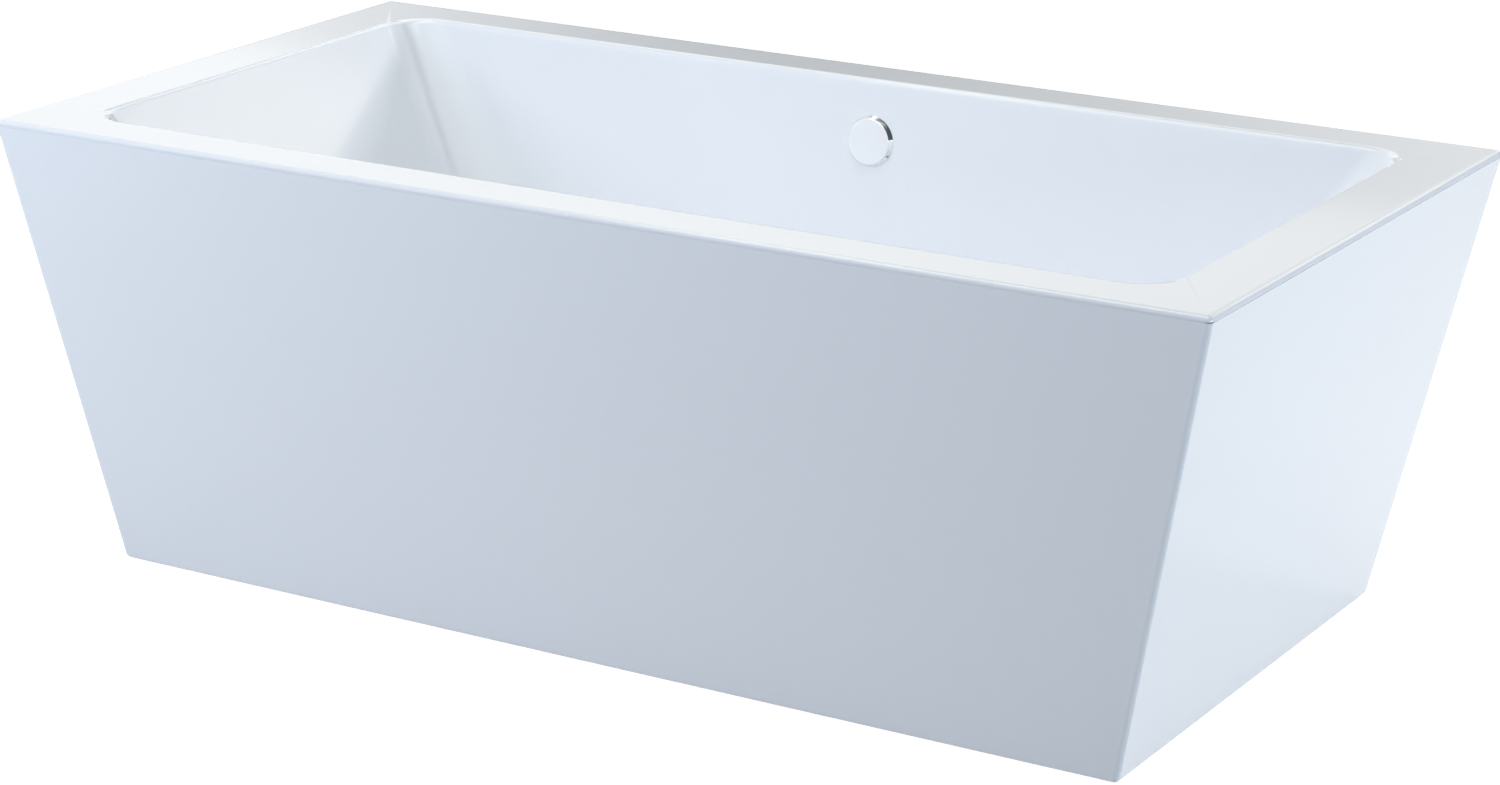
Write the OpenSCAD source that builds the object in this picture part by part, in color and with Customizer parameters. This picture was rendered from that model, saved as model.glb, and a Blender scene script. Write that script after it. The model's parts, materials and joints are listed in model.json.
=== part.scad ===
// Freestanding double-ended bathtub: moulded acrylic basin and leaning skirt on a steel frame
// with levelling feet, click drain and piped overflow. Millimetres, +Z up, the long side along X.
// The origin is on the floor under the middle of the tub; +Y is the overflow side.

/* [Overall] */
// Length over the rim
tub_l = 1700; // [1500:10:2100]
// Width over the rim
tub_w = 850; // [780:10:1050]
// Height from the floor to the top of the rim
tub_h = 595; // [585:5:760]
// Gap between the floor and the lower edge of the skirt
floor_gap = 5; // [4:1:12]

/* [Rim] */
// Width of the rim at each end
rim_end = 86; // [60:1:120]
// Width of the rim along each long side
rim_side = 69; // [50:1:110]
// Height of the rim's turned-down edge
rim_lip = 7; // [5:0.5:16]
// Width of the rounding along the rim's outer top edge
rim_edge_r = 10; // [4:0.5:10]
// Rounding of the tub's four outer corners, seen from above
corner_r = 11; // [11:1:30]
// Width of the flat under the rim that the skirt is bonded to
bond_w = 30; // [15:1:40]
// Thickness of the adhesive bead between rim and skirt
bead_t = 1; // [0.6:0.1:2]
// How far the bead lies back from the outer faces
bead_inset = 0.5; // [0.3:0.1:3]

/* [Basin] */
// Wall thickness of the basin moulding
shell_t = 6; // [4:0.5:7.5]
// Depth from the rim to the edge of the basin floor
basin_depth = 450; // [330:5:460]
// Fall of the basin floor towards the drain
floor_fall = 5; // [3:0.5:10]
// Lean of the two long walls from the vertical, degrees
side_slope = 7; // [6:0.5:16]
// Lean of the two end walls from the vertical, degrees
end_slope = 29; // [15:0.5:32]
// Radius where the rim rolls into a long wall
side_roll_r = 8; // [8:1:25]
// Radius where the rim rolls into an end wall
end_roll_r = 8; // [8:1:20]
// Radius between the walls and the floor
floor_r = 90; // [50:5:110]
// Corner radius of the opening
opening_r = 60; // [40:5:90]
// Corner radius of the basin at floor level
floor_corner_r = 110; // [80:5:130]
// Depth of the recess that frames the opening at the ends
recess_depth = 1.5; // [0.8:0.1:2.5]
// Distance of the recess's short sides from the long edges of the opening
recess_setback = 34; // [20:1:60]
// Corner radius of the recess
recess_r = 14; // [6:1:20]

/* [Skirt] */
// Wall thickness of the skirt
skirt_t = 5; // [3:0.5:6]
// How far each end leans in from the rim to the floor
end_lean = 125; // [40:5:150]
// How far each long side leans in from the rim to the floor
side_lean = 64; // [20:2:72]
// Width of the skirt's turned-in bottom flange
hem_w = 30; // [15:1:35]
// Rounding of the skirt's lower outer edge
hem_r = 6; // [2:1:8]

/* [Base and frame] */
// Thickness of the board under the basin floor
board_t = 12; // [9:1:18]
// Width of the basin floor's edge that the board leaves free
board_margin = 8; // [4:1:20]
// Side of the square frame tube
tube_s = 30; // [25:1:35]
// Wall of the square frame tube
tube_t = 2; // [1.5:0.1:3]
// Distance from the board's long edge to the middle of a rail
rail_edge = 40; // [25:1:60]
// How far a rail runs on past the board's end
rail_past = 82; // [60:1:110]
// Distance from a rail's end to the middle of the crossbar
cross_edge = 28; // [22:1:40]
// Length of a crossbar
cross_l = 560; // [480:10:600]
// Number of screws that hold the board to each rail
board_screw_n = 4; // [2:2:6]

/* [Levelling feet] */
// Thread diameter of the foot stem
stem_d = 12; // [10:1:14]
// Distance from a crossbar's end to the stem
foot_edge = 28; // [22:1:40]
// Diameter of the foot pad
pad_d = 56; // [40:1:70]
// Height of the foot pad
pad_h = 22; // [16:1:28]
// Length of stem that stands above the weld nut
stem_spare = 16; // [8:1:20]

/* [Drain] */
// Hole in the basin floor for the drain
drain_hole_d = 52; // [48:0.5:60]
// Outside diameter of the drain flange
drain_flange_d = 70; // [66:1:80]
// Outside diameter of the drain's threaded barrel
drain_barrel_d = 46; // [42:0.5:48]
// Length of the drain's threaded barrel
drain_barrel_l = 34; // [28:1:40]
// Diameter of the stopper cap
stopper_d = 62; // [56:1:66]
// Travel of the stopper between shut and open
stopper_travel = 9; // [6:0.5:10]
// Outside diameter of the tailpiece
tail_d = 38.1; // [32:0.1:40]
// Height of the tailpiece's open end above the floor
tail_gap = 6; // [5:1:20]

/* [Overflow] */
// Depth of the overflow's middle below the rim
overflow_drop = 82; // [60:1:110]
// Diameter of the overflow cap at the wall
overflow_cap_d = 69; // [66:1:78]
// Diameter of the overflow cap's face, which its sides taper to
overflow_face_d = 61; // [56:1:62]
// Height that the overflow cap stands off the wall
overflow_cap_h = 7; // [6.5:0.5:10]
// Hole in the basin wall for the overflow
overflow_hole_d = 50; // [44:1:54]
// Outside diameter of the overflow pipe
pipe_d = 32; // [28:0.5:35]
// Bend radius of the pipe elbows
bend_r = 28; // [28:1:36]
// Distance from the wall's inner face to the riser
riser_off = 45; // [45:1:52]

/* [Hidden] */

$fn = 48;
CORNER_STEPS = 8;                      // facets round one corner of a moulding
ROLL_STEPS = 4;                        // facets round a small edge radius
FLOOR_STEPS = 6;                       // facets round the floor radius
TURN_FIT = 0.05;                       // radial play of a thread or a turning pin
SLIP_FIT = 0.3;                        // radial play of a loose fit
LEAN_GAP = 0.05;                       // hairline left between pieces that meet on a leaning face
EPS = 0.01;                            // overlap that keeps joined solids one piece

ACRYLIC = [0.95, 0.96, 0.97];
CHROME = [0.82, 0.83, 0.85];
STEEL = [0.62, 0.64, 0.66];
BOARD = [0.72, 0.62, 0.46];
RUBBER = [0.15, 0.15, 0.16];
PLASTIC = [0.88, 0.88, 0.86];
BLACK = [0.12, 0.12, 0.13];

// Levels, from the basin floor down
floor_z = tub_h - basin_depth;
drain_z = floor_z - floor_fall;
under_z = drain_z - shell_t;
board_z = under_z - board_t;
rail_z = board_z - tube_s;
cross_z = rail_z - tube_s;
lip_z = tub_h - rim_lip;
skirt_top = lip_z - bead_t;

// ---------------------------------------------------------------- mouldings

// Points of a rounded rectangle, half sizes a and b and corner radius r, anticlockwise.
// Its height is ze at the ends and zs along the long sides, blended round the corners.
function ring(a, b, r, ze, zs) = [
  for (q = [0:3], i = [0:CORNER_STEPS])
    let (t = 90 * q + 90 * i / CORNER_STEPS, sx = (q == 0 || q == 3) ? 1 : -1, sy = q < 2 ? 1 : -1)
      [sx * (a - r) + r * cos(t), sy * (b - r) + r * sin(t),
       ze * pow(cos(t), 2) + zs * pow(sin(t), 2)]
];

// As many points round a circle, for the flat that the drain sits in
function round_ring(r, z) = [
  for (q = [0:3], i = [0:CORNER_STEPS])
    let (t = 90 * q + 90 * (i + 0.5) / (CORNER_STEPS + 1)) [r * cos(t), r * sin(t), z]
];

// Triangles between rings k and k + 1 of n points; the last ring joins ring 0 when rings = k + 1
function band(k, rings, n) = [
  for (i = [0:n - 1])
    let (j = (i + 1) % n, m = (k + 1) % rings)
      each [[k * n + i, m * n + j, k * n + j], [k * n + i, m * n + i, m * n + j]]
];

// A vessel: rings from the middle of its inside, over the rim, to the middle of its underside
module vessel(rings) {
  n = len(rings[0]);
  last = (len(rings) - 1) * n;
  polyhedron(
    points = [for (r = rings) each r],
    faces = concat(
      [[for (i = [0:n - 1]) n - 1 - i]],
      [for (k = [0:len(rings) - 2]) each band(k, len(rings), n)],
      [[for (i = [0:n - 1]) last + i]]
    )
  );
}

// A hoop: rings round a closed section, from its outer top down and back up inside
module hoop(rings) {
  polyhedron(
    points = [for (r = rings) each r],
    faces = [for (k = [0:len(rings) - 1]) each band(k, len(rings), len(rings[0]))]
  );
}

// Length that a radius takes up on each side of a corner that turns by the given angle
function tangent(r, turn) = r * tan(turn / 2);

// One wall of the basin as [offset in from the opening's edge, depth, slope angle] from rim to floor.
// edge is where the slope meets the rim plane, top the depth of that plane.
function wall_profile(edge, top, depth, slope, roll, foot) =
  let (turn = 90 - slope, run = (depth - top) * tan(slope))
  concat(
    [for (i = [0:ROLL_STEPS])
      let (t = turn * i / ROLL_STEPS)
        [edge - tangent(roll, turn) + roll * sin(t), top + roll - roll * cos(t), t]],
    [for (i = [0:FLOOR_STEPS])
      let (t = turn * (1 - i / FLOOR_STEPS))
        [edge + run + tangent(foot, turn) - foot * sin(t), depth - foot + foot * cos(t), t]]
  );

// Where a wall's slope meets the plane of the rim, in from the opening's edge
function slope_edge(roll, slope) = tangent(roll, 90 - slope);

// The same meeting point for the back of a wall, on the plane of the rim's underside
function back_edge(roll, slope) = slope_edge(roll, slope) + shell_t * tan(slope) - shell_t / cos(slope);

opening_a = tub_l / 2 - rim_end;
opening_b = tub_w / 2 - rim_side;

function corner_at(depth) = opening_r + (floor_corner_r - opening_r) * depth / basin_depth;

// Rings of one face of the basin, rim first; t is how far the face lies behind the inside
function basin_rings(t) =
  let (
    depth = basin_depth + (t > 0 ? floor_fall + t : 0),
    end_edge = t > 0 ? back_edge(end_roll_r, end_slope) : slope_edge(end_roll_r, end_slope),
    side_edge = t > 0 ? back_edge(side_roll_r, side_slope) : slope_edge(side_roll_r, side_slope),
    ends = wall_profile(end_edge, t, depth, end_slope, end_roll_r - t, floor_r + t),
    sides = wall_profile(side_edge, t, depth, side_slope, side_roll_r - t, floor_r + t)
  )
  [for (k = [0:len(ends) - 1])
    ring(opening_a - ends[k][0], opening_b - sides[k][0],
         corner_at(min(ends[k][1], basin_depth)) + t * sin(ends[k][2]),
         tub_h - ends[k][1], tub_h - sides[k][1])];

rim_straight = 1;                      // straight part of the rim's edge, below its rounding

// A ring on the rim, in from its outer face
function rim_ring(in, r, z) = ring(tub_l / 2 - in, tub_w / 2 - in, r, z, z);

// Rings of the rim's outer edge, from the flat top round to the bond under it.
// The rounding is a quarter of an ellipse, since the rim turns down less than it is rounded in.
function edge_rings() = concat(
  [for (i = [0:ROLL_STEPS])
    let (
      t = 90 * i / ROLL_STEPS,
      in = rim_edge_r * (1 - sin(t)),
      z = tub_h - (rim_lip - rim_straight) * (1 - cos(t))
    )
    rim_ring(in, corner_r - in, z)],
  [
    rim_ring(0, corner_r, lip_z),
    rim_ring(bond_w, corner_r / 2, lip_z),
    rim_ring(bond_w + shell_t, corner_r, tub_h - shell_t)
  ]
);

function flip(list) = [for (i = [len(list) - 1:-1:0]) list[i]];

drain_land_w = 12;
drain_land_r = drain_flange_d / 2 + drain_land_w;
drain_recess = 2;
drain_recess_r = drain_flange_d / 2 + 1;

module basin() {
  color(ACRYLIC)
    difference() {
      vessel(concat([round_ring(drain_land_r, drain_z)], flip(basin_rings(0)),
                    edge_rings(), basin_rings(shell_t)));
      translate([0, 0, tub_h - recess_depth])
        linear_extrude(recess_depth + 1)
          rounded_rect(2 * opening_a, 2 * (opening_b - recess_setback), recess_r);
      translate([0, 0, drain_z - drain_recess]) cylinder(r = drain_recess_r, h = 2 * drain_recess);
      translate([0, 0, under_z - 1]) cylinder(d = drain_hole_d, h = 2 * shell_t);
      on_wall() along_y(-shell_t) cylinder(d = overflow_hole_d, h = 3 * shell_t);
    }
}

// Half sizes of the skirt's outer face at a height
function skirt_a(z) = tub_l / 2 - end_lean * (skirt_top - z) / (skirt_top - floor_gap);
function skirt_b(z) = tub_w / 2 - side_lean * (skirt_top - z) / (skirt_top - floor_gap);
function skirt_ring(in, z) = ring(skirt_a(z) - in, skirt_b(z) - in, max(corner_r - in, 2), z, z);

module skirt() {
  color(ACRYLIC)
    hoop(concat(
      [skirt_ring(0, skirt_top)],
      [for (i = [0:ROLL_STEPS])
        let (t = 90 * i / ROLL_STEPS) skirt_ring(hem_r * (1 - cos(t)), floor_gap + hem_r * (1 - sin(t)))],
      [
        skirt_ring(hem_w, floor_gap),
        skirt_ring(hem_w, floor_gap + skirt_t),
        skirt_ring(skirt_t, floor_gap + skirt_t),
        skirt_ring(skirt_t, skirt_top - skirt_t),
        skirt_ring(bond_w, skirt_top - skirt_t),
        skirt_ring(bond_w, skirt_top)
      ]
    ));
}

module rounded_rect(l, w, r) {
  square([l - 2 * r, w], center = true);
  square([l, w - 2 * r], center = true);
  for (x = [-1, 1], y = [-1, 1]) translate([x * (l / 2 - r), y * (w / 2 - r)]) circle(r);
}

module bonding_bead() {
  color(PLASTIC)
    translate([0, 0, skirt_top])
      linear_extrude(bead_t)
        difference() {
          rounded_rect(tub_l - 2 * bead_inset, tub_w - 2 * bead_inset, corner_r - bead_inset);
          rounded_rect(tub_l - 2 * bond_w, tub_w - 2 * bond_w, corner_r / 2);
        }
}

// ---------------------------------------------------------------- base and frame

// Half sizes of the flat under the basin floor
flat_a = opening_a - slope_edge(end_roll_r, end_slope) - basin_depth * tan(end_slope)
         - tangent(floor_r, 90 - end_slope);
flat_b = opening_b - slope_edge(side_roll_r, side_slope) - basin_depth * tan(side_slope)
         - tangent(floor_r, 90 - side_slope);
board_l = 2 * floor(flat_a - board_margin);
board_w = 2 * floor(flat_b - board_margin);
board_r = 60;
rail_y = board_w / 2 - rail_edge;
rail_l = board_l + 2 * rail_past;
cross_x = rail_l / 2 - cross_edge;
foot_y = cross_l / 2 - foot_edge;

bolt_r = 4;
bolt_head_h = 5.3;
bolt_head_r = 7.5;
nut_h = 6.5;
screw_r = 2.2;
screw_head_r = 4.5;
screw_head_h = 3;
screw_bite = 9;
stem_r = stem_d / 2;
stem_hole_r = stem_r + 0.7;
weld_nut_h = 10;
jam_nut_h = 7;
foot_nut_r = 0.9 * stem_d;

tee_flange_r = 38;
board_hole_gap = 4;
board_hole_r = tee_flange_r + board_hole_gap;

module base_board() {
  color(BOARD)
    translate([0, 0, board_z])
      difference() {
        linear_extrude(board_t) rounded_rect(board_l, board_w, board_r);
        translate([0, 0, -1]) cylinder(r = board_hole_r, h = board_t + 2);
        at_board_screws() translate([0, 0, -1])
          cylinder(r = screw_r + TURN_FIT, h = screw_bite + 1 + SLIP_FIT);
      }
}

// A square tube of the given length along X, its underside on the XY plane
module tube(l) {
  difference() {
    translate([-l / 2, -tube_s / 2, 0]) cube([l, tube_s, tube_s]);
    translate([-l / 2 - 1, -tube_s / 2 + tube_t, tube_t])
      cube([l + 2, tube_s - 2 * tube_t, tube_s - 2 * tube_t]);
  }
}

// Places for what repeats on the frame
module at_board_screws() {
  for (side = [-1, 1], i = [0:board_screw_n - 1])
    translate([(i - (board_screw_n - 1) / 2) * board_l / board_screw_n, side * rail_y, 0]) children();
}
module at_crossings() {
  for (x = [-1, 1], y = [-1, 1]) translate([x * cross_x, y * rail_y, 0]) children();
}
module at_feet() {
  for (x = [-1, 1], y = [-1, 1]) translate([x * cross_x, y * foot_y, 0]) children();
}

module rail(side) {
  color(STEEL)
    difference() {
      translate([0, side * rail_y, rail_z]) tube(rail_l);
      at_crossings() translate([0, 0, rail_z - 1]) cylinder(r = bolt_r + SLIP_FIT, h = tube_s + 2);
      translate([0, 0, rail_z - 1]) at_board_screws() cylinder(r = screw_r + SLIP_FIT, h = tube_s + 2);
    }
}

module crossbar(side) {
  color(STEEL)
    difference() {
      translate([side * cross_x, 0, cross_z]) rotate([0, 0, 90]) tube(cross_l);
      at_crossings() translate([0, 0, cross_z - 1]) cylinder(r = bolt_r + SLIP_FIT, h = tube_s + 2);
      at_feet() translate([0, 0, cross_z - 1]) cylinder(r = stem_hole_r, h = tube_s + 2);
    }
}

plug_t = 3;
plug_l = 14;

// A plug for an open tube end that faces +X, its plate against the tube
module tube_plug() {
  s = tube_s - 2 * tube_t - 2 * TURN_FIT;
  translate([0, -tube_s / 2, 0]) cube([plug_t, tube_s, tube_s]);
  translate([-plug_l, -s / 2, (tube_s - s) / 2]) cube([plug_l + EPS, s, s]);
}

module tube_end_plugs() {
  color(BLACK)
    for (side = [-1, 1], turn = [0, 180]) {
      translate([0, side * rail_y, rail_z]) rotate([0, 0, turn]) translate([rail_l / 2, 0, 0]) tube_plug();
      translate([side * cross_x, 0, cross_z]) rotate([0, 0, turn + 90]) translate([cross_l / 2, 0, 0])
        tube_plug();
    }
}

module frame_bolts() {
  color(STEEL)
    at_crossings() {
      translate([0, 0, cross_z - bolt_head_h]) cylinder(r = bolt_head_r, h = bolt_head_h, $fn = 6);
      translate([0, 0, cross_z - EPS]) cylinder(r = bolt_r, h = 2 * tube_s + nut_h + 2);
    }
}

module nut(outer_r, bore_r, h) {
  difference() {
    cylinder(r = outer_r, h = h, $fn = 6);
    translate([0, 0, -1]) cylinder(r = bore_r, h = h + 2);
  }
}

module frame_nuts() {
  color(STEEL) at_crossings() translate([0, 0, board_z]) nut(bolt_head_r, bolt_r + TURN_FIT, nut_h);
}

module board_screws() {
  color(STEEL)
    at_board_screws() {
      translate([0, 0, rail_z - EPS]) cylinder(r = screw_r, h = tube_s + screw_bite + EPS);
      translate([0, 0, rail_z - screw_head_h])
        cylinder(r1 = screw_head_r - 1, r2 = screw_head_r, h = screw_head_h);
    }
}

module foot_weld_nuts() {
  color(STEEL) at_feet() translate([0, 0, rail_z]) nut(foot_nut_r, stem_r + TURN_FIT, weld_nut_h);
}

module foot_jam_nuts() {
  color(STEEL) at_feet() translate([0, 0, cross_z - jam_nut_h]) nut(foot_nut_r, stem_r + TURN_FIT, jam_nut_h);
}

pad_socket_h = 12;
stem_seat_z = pad_h - pad_socket_h;
collar_h = 8;
stem_top = rail_z + weld_nut_h + stem_spare;

// x and y are -1 or 1: the corner of the frame that the foot carries
module foot_stem(x, y) {
  color(STEEL)
    translate([x * cross_x, y * foot_y, 0]) {
      translate([0, 0, stem_seat_z + SLIP_FIT])
        cylinder(r = stem_r, h = stem_top - stem_seat_z - SLIP_FIT - 1);
      translate([0, 0, stem_top - 1 - EPS]) cylinder(r1 = stem_r, r2 = stem_r - 1, h = 1 + EPS);
      translate([0, 0, pad_h + SLIP_FIT]) cylinder(r = foot_nut_r - 1, h = collar_h, $fn = 6);
    }
}

pad_rim_h = 6;
pad_neck_r = 13;

module foot_pad(x, y) {
  color(BLACK)
    translate([x * cross_x, y * foot_y, 0])
      difference() {
        rotate_extrude()
          polygon([
            [0, 0], [pad_d / 2 - 1, 0], [pad_d / 2, 1], [pad_d / 2, pad_rim_h],
            [pad_neck_r + 3, pad_h - 5], [pad_neck_r, pad_h], [0, pad_h]
          ]);
        translate([0, 0, stem_seat_z]) cylinder(r = stem_r + TURN_FIT, h = pad_h);
      }
}

// ---------------------------------------------------------------- drain

drain_plate_t = 2.5;
drain_wall = 2.5;
seat_z = drain_z - drain_recess;
barrel_r = drain_barrel_d / 2;
barrel_in_r = barrel_r - drain_wall;
barrel_bottom = seat_z - drain_barrel_l;
spider_h = 6;
spider_lift = 1;
spider_top = barrel_bottom + spider_lift + spider_h;
spider_arms = 4;
spider_t = 3;
boss_r = 7;
post_r = 4;

module drain_flange() {
  color(CHROME)
    translate([0, 0, seat_z]) {
      rotate_extrude()
        polygon([
          [barrel_in_r, -drain_barrel_l], [barrel_r, -drain_barrel_l], [barrel_r, 0], [drain_flange_d / 2, 0],
          [drain_flange_d / 2, drain_plate_t - 1.5], [drain_flange_d / 2 - 3, drain_plate_t],
          [barrel_in_r + 4, drain_plate_t], [barrel_in_r, -2]
        ]);
      translate([0, 0, spider_lift - drain_barrel_l])
        difference() {
          union() {
            cylinder(r = boss_r, h = spider_h);
            for (i = [0:spider_arms - 1])
              rotate([0, 0, 360 * (i + 0.5) / spider_arms])
                translate([boss_r - 1, -spider_t / 2, 0])
                  cube([barrel_in_r + 2 - boss_r, spider_t, spider_h]);
          }
          translate([0, 0, -1]) cylinder(r = post_r + TURN_FIT, h = spider_h + 2);
        }
    }
}

gasket_t = 3;

module washer(outer_r, inner_r, h) {
  difference() {
    cylinder(r = outer_r, h = h);
    translate([0, 0, -1]) cylinder(r = inner_r, h = h + 2);
  }
}

module drain_gasket() {
  color(RUBBER) translate([0, 0, under_z - gasket_t]) washer(tee_flange_r, barrel_r + SLIP_FIT, gasket_t);
}

// The stopper: a cap on a sprung plunger that slides in a barrel screwed into the drain's spider
rod_r = 2.5;
barrel_d = 13;
cup_r = 5;
cap_t = 3.5;
cap_z = seat_z + drain_plate_t + SLIP_FIT;
cup_floor_t = 3;
cup_lid_t = 2;
cup_bottom = spider_top + cup_floor_t;
cup_top = cap_z - 5;
head_h = 2;
head_z = cup_top - cup_lid_t - head_h - stopper_travel - SLIP_FIT;

module stopper_cap() {
  color(CHROME)
    translate([0, 0, cap_z])
      difference() {
        rotate_extrude()
          polygon([
            [0, 0], [stopper_d / 2 - 1, 0], [stopper_d / 2, 1], [stopper_d / 2 - 0.4, 2],
            [stopper_d / 2 - 2, cap_t - 0.6], [stopper_d / 2 - 6, cap_t - 0.1], [0, cap_t]
          ]);
        translate([0, 0, -1]) cylinder(r = rod_r + TURN_FIT, h = 2.5);
      }
}

seal_h = 3;

module stopper_seal() {
  color(RUBBER)
    translate([0, 0, cap_z - seal_h])
      difference() {
        cylinder(r1 = barrel_in_r - SLIP_FIT, r2 = barrel_in_r + 1, h = seal_h);
        translate([0, 0, -1]) cylinder(r = barrel_d / 2 + 1, h = seal_h + 2);
      }
}

module stopper_plunger() {
  color(STEEL) {
    translate([0, 0, head_z]) cylinder(r = rod_r, h = cap_z + 1.3 - head_z);
    translate([0, 0, head_z]) cylinder(r = cup_r - SLIP_FIT, h = head_h);
  }
}

module stopper_barrel() {
  color(STEEL)
    difference() {
      union() {
        translate([0, 0, spider_top]) cylinder(d = barrel_d, h = cup_top - spider_top);
        translate([0, 0, barrel_bottom - 4]) cylinder(r = post_r, h = spider_top - barrel_bottom + 4 + EPS);
      }
      translate([0, 0, cup_bottom]) cylinder(r = cup_r, h = cup_top - cup_lid_t - cup_bottom);
      translate([0, 0, cup_top - cup_lid_t - 1]) cylinder(r = rod_r + TURN_FIT, h = cup_lid_t + 2);
    }
}

SPRING_SIDES = 6;
SPRING_STEPS = 14;
spring_wire_r = 0.5;
spring_turns = 4;
spring_coil_r = cup_r - SLIP_FIT - 2 * spring_wire_r;
spring_h = head_z - cup_bottom - 2 * SLIP_FIT;

// A helical wire, its ends cut square across
module stopper_spring() {
  n = SPRING_STEPS * spring_turns;
  rise = (spring_h - 2 * spring_wire_r) / n;
  points = [
    for (k = [0:n], i = [0:SPRING_SIDES - 1])
      let (a = 360 * k / SPRING_STEPS, b = 360 * i / SPRING_SIDES, r = spring_coil_r + spring_wire_r * cos(b))
        [r * cos(a), r * sin(a), rise * k + spring_wire_r * (1 + sin(b))]
  ];
  color(STEEL)
    translate([0, 0, cup_bottom + SLIP_FIT])
      polyhedron(
        points = points,
        faces = concat(
          [[for (i = [0:SPRING_SIDES - 1]) i]],
          [for (k = [0:n - 1]) each [
            for (t = band(k, n + 1, SPRING_SIDES)) [t[2], t[1], t[0]]
          ]],
          [[for (i = [0:SPRING_SIDES - 1]) n * SPRING_SIDES + SPRING_SIDES - 1 - i]]
        )
      );
}

// ---------------------------------------------------------------- waste and overflow pipes

pipe_r = pipe_d / 2;
pipe_t = 2;
socket_t = 3.5;
socket_l = 16;
socket_r = pipe_r + socket_t;
insert_l = 12;
slip_nut_t = 3;
slip_nut_l = 16;
nut_grip = 12;
washer_t = 3;
rib_n = 8;
rib_w = 4;
rib_rise = 1.5;
tail_r = tail_d / 2;
tail_t = 1.2;
tail_socket_r = tail_r + socket_t;
pipe_clear = 3;
pipe_z = rail_z - pipe_r - pipe_clear;

// Riser and elbow geometry, in the wall's own frame: y out through the wall, z up along it
wall_y = opening_b - slope_edge(side_roll_r, side_slope) - overflow_drop * tan(side_slope);
module on_wall() {
  translate([0, wall_y, tub_h - overflow_drop]) rotate([-side_slope, 0, 0]) children();
}
// Children made along +Z now lie along +Y, starting at y
module along_y(y) {
  translate([0, y, 0]) rotate([-90, 0, 0]) children();
}

lower_turn = 90 - side_slope;
lower_reach = tangent(bend_r, lower_turn);
// Where the riser's axis meets the height of the cross pipe: distance down the wall, and place in Y
riser_foot = (tub_h - overflow_drop - riser_off * sin(side_slope) - pipe_z) / cos(side_slope);
corner_y = wall_y + riser_off * cos(side_slope) - riser_foot * sin(side_slope);

// A ribbed nut on a socket that opens along +Z at the origin, and its washer. Its ribs point away from
// the wall and the skirt.
module slip_nut(r) {
  outer = r + socket_t + SLIP_FIT + slip_nut_t;
  translate([0, 0, -nut_grip])
    difference() {
      union() {
        cylinder(r = outer, h = slip_nut_l + washer_t);
        for (i = [0:rib_n - 1])
          rotate([0, 0, 360 * (i + 0.5) / rib_n])
            translate([outer - 1, -rib_w / 2, 0]) cube([1 + rib_rise, rib_w, slip_nut_l + washer_t]);
      }
      translate([0, 0, -1]) cylinder(r = r + socket_t + TURN_FIT, h = nut_grip + washer_t + 1);
      translate([0, 0, nut_grip]) cylinder(r = r + TURN_FIT, h = slip_nut_l);
    }
}
module slip_washer(r) {
  translate([0, 0, LEAN_GAP]) washer(r + socket_t, r + TURN_FIT, washer_t - 2 * LEAN_GAP);
}

// Each slip joint in turn: tee to cross pipe, cross pipe to elbow, elbow to riser, riser to elbow
tee_port_y = 46;
module at_pipe_joints() {
  translate([0, tee_port_y, pipe_z]) rotate([-90, 0, 0]) children();
  translate([0, corner_y - lower_reach - socket_l, pipe_z]) rotate([90, 0, 0]) children();
  on_wall() translate([0, riser_off, -riser_foot + lower_reach + socket_l]) children();
  on_wall() translate([0, riser_off, -bend_r - socket_l]) rotate([180, 0, 0]) children();
}
tee_leg_l = 13;
tee_bottom = pipe_z - socket_r - tee_leg_l;
module at_tail_joint() {
  translate([0, 0, tee_bottom]) rotate([180, 0, 0]) children();
}

module slip_nuts() {
  color(PLASTIC) {
    at_pipe_joints() slip_nut(pipe_r);
    at_tail_joint() slip_nut(tail_r);
  }
}
module slip_washers() {
  color(BLACK) {
    at_pipe_joints() slip_washer(pipe_r);
    at_tail_joint() slip_washer(tail_r);
  }
}

// A round tube along +Z from z0 to z1
module pipe(r, t, z0, z1) {
  translate([0, 0, z0])
    difference() {
      cylinder(r = r, h = z1 - z0);
      translate([0, 0, -1]) cylinder(r = r - t, h = z1 - z0 + 2);
    }
}

tee_top = under_z - gasket_t;
tee_flange_t = 4;
tee_neck_r = barrel_r + 4;
tee_step_z = barrel_bottom - 7;

module waste_tee() {
  color(PLASTIC)
    difference() {
      union() {
        translate([0, 0, tee_top - tee_flange_t]) cylinder(r = tee_flange_r, h = tee_flange_t);
        translate([0, 0, tee_step_z]) cylinder(r = tee_neck_r, h = tee_top - tee_step_z);
        translate([0, 0, tee_bottom]) cylinder(r = tail_socket_r, h = tee_step_z - tee_bottom + EPS);
        translate([0, 0, pipe_z]) rotate([-90, 0, 0]) cylinder(r = socket_r, h = tee_port_y);
      }
      translate([0, 0, tee_step_z + 3]) cylinder(r = barrel_r + TURN_FIT, h = tee_top);
      translate([0, 0, tee_bottom - 1]) cylinder(r = tail_r - tail_t, h = tee_top);
      translate([0, 0, tee_bottom - 1]) cylinder(r = tail_r + TURN_FIT, h = insert_l + 1);
      translate([0, 0, pipe_z]) rotate([-90, 0, 0]) cylinder(r = pipe_r - pipe_t, h = tee_port_y + 1);
      translate([0, tee_port_y - insert_l, pipe_z]) rotate([-90, 0, 0])
        cylinder(r = pipe_r + TURN_FIT, h = insert_l + 1);
    }
}

// A rolled bead under the nut keeps the tailpiece from riding up when a pipe is pushed onto it
tail_bead_h = 2;
tail_bead_w = 1.2;
tail_bead_z = tee_bottom + nut_grip - slip_nut_l - washer_t - SLIP_FIT - tail_bead_h;

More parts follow.
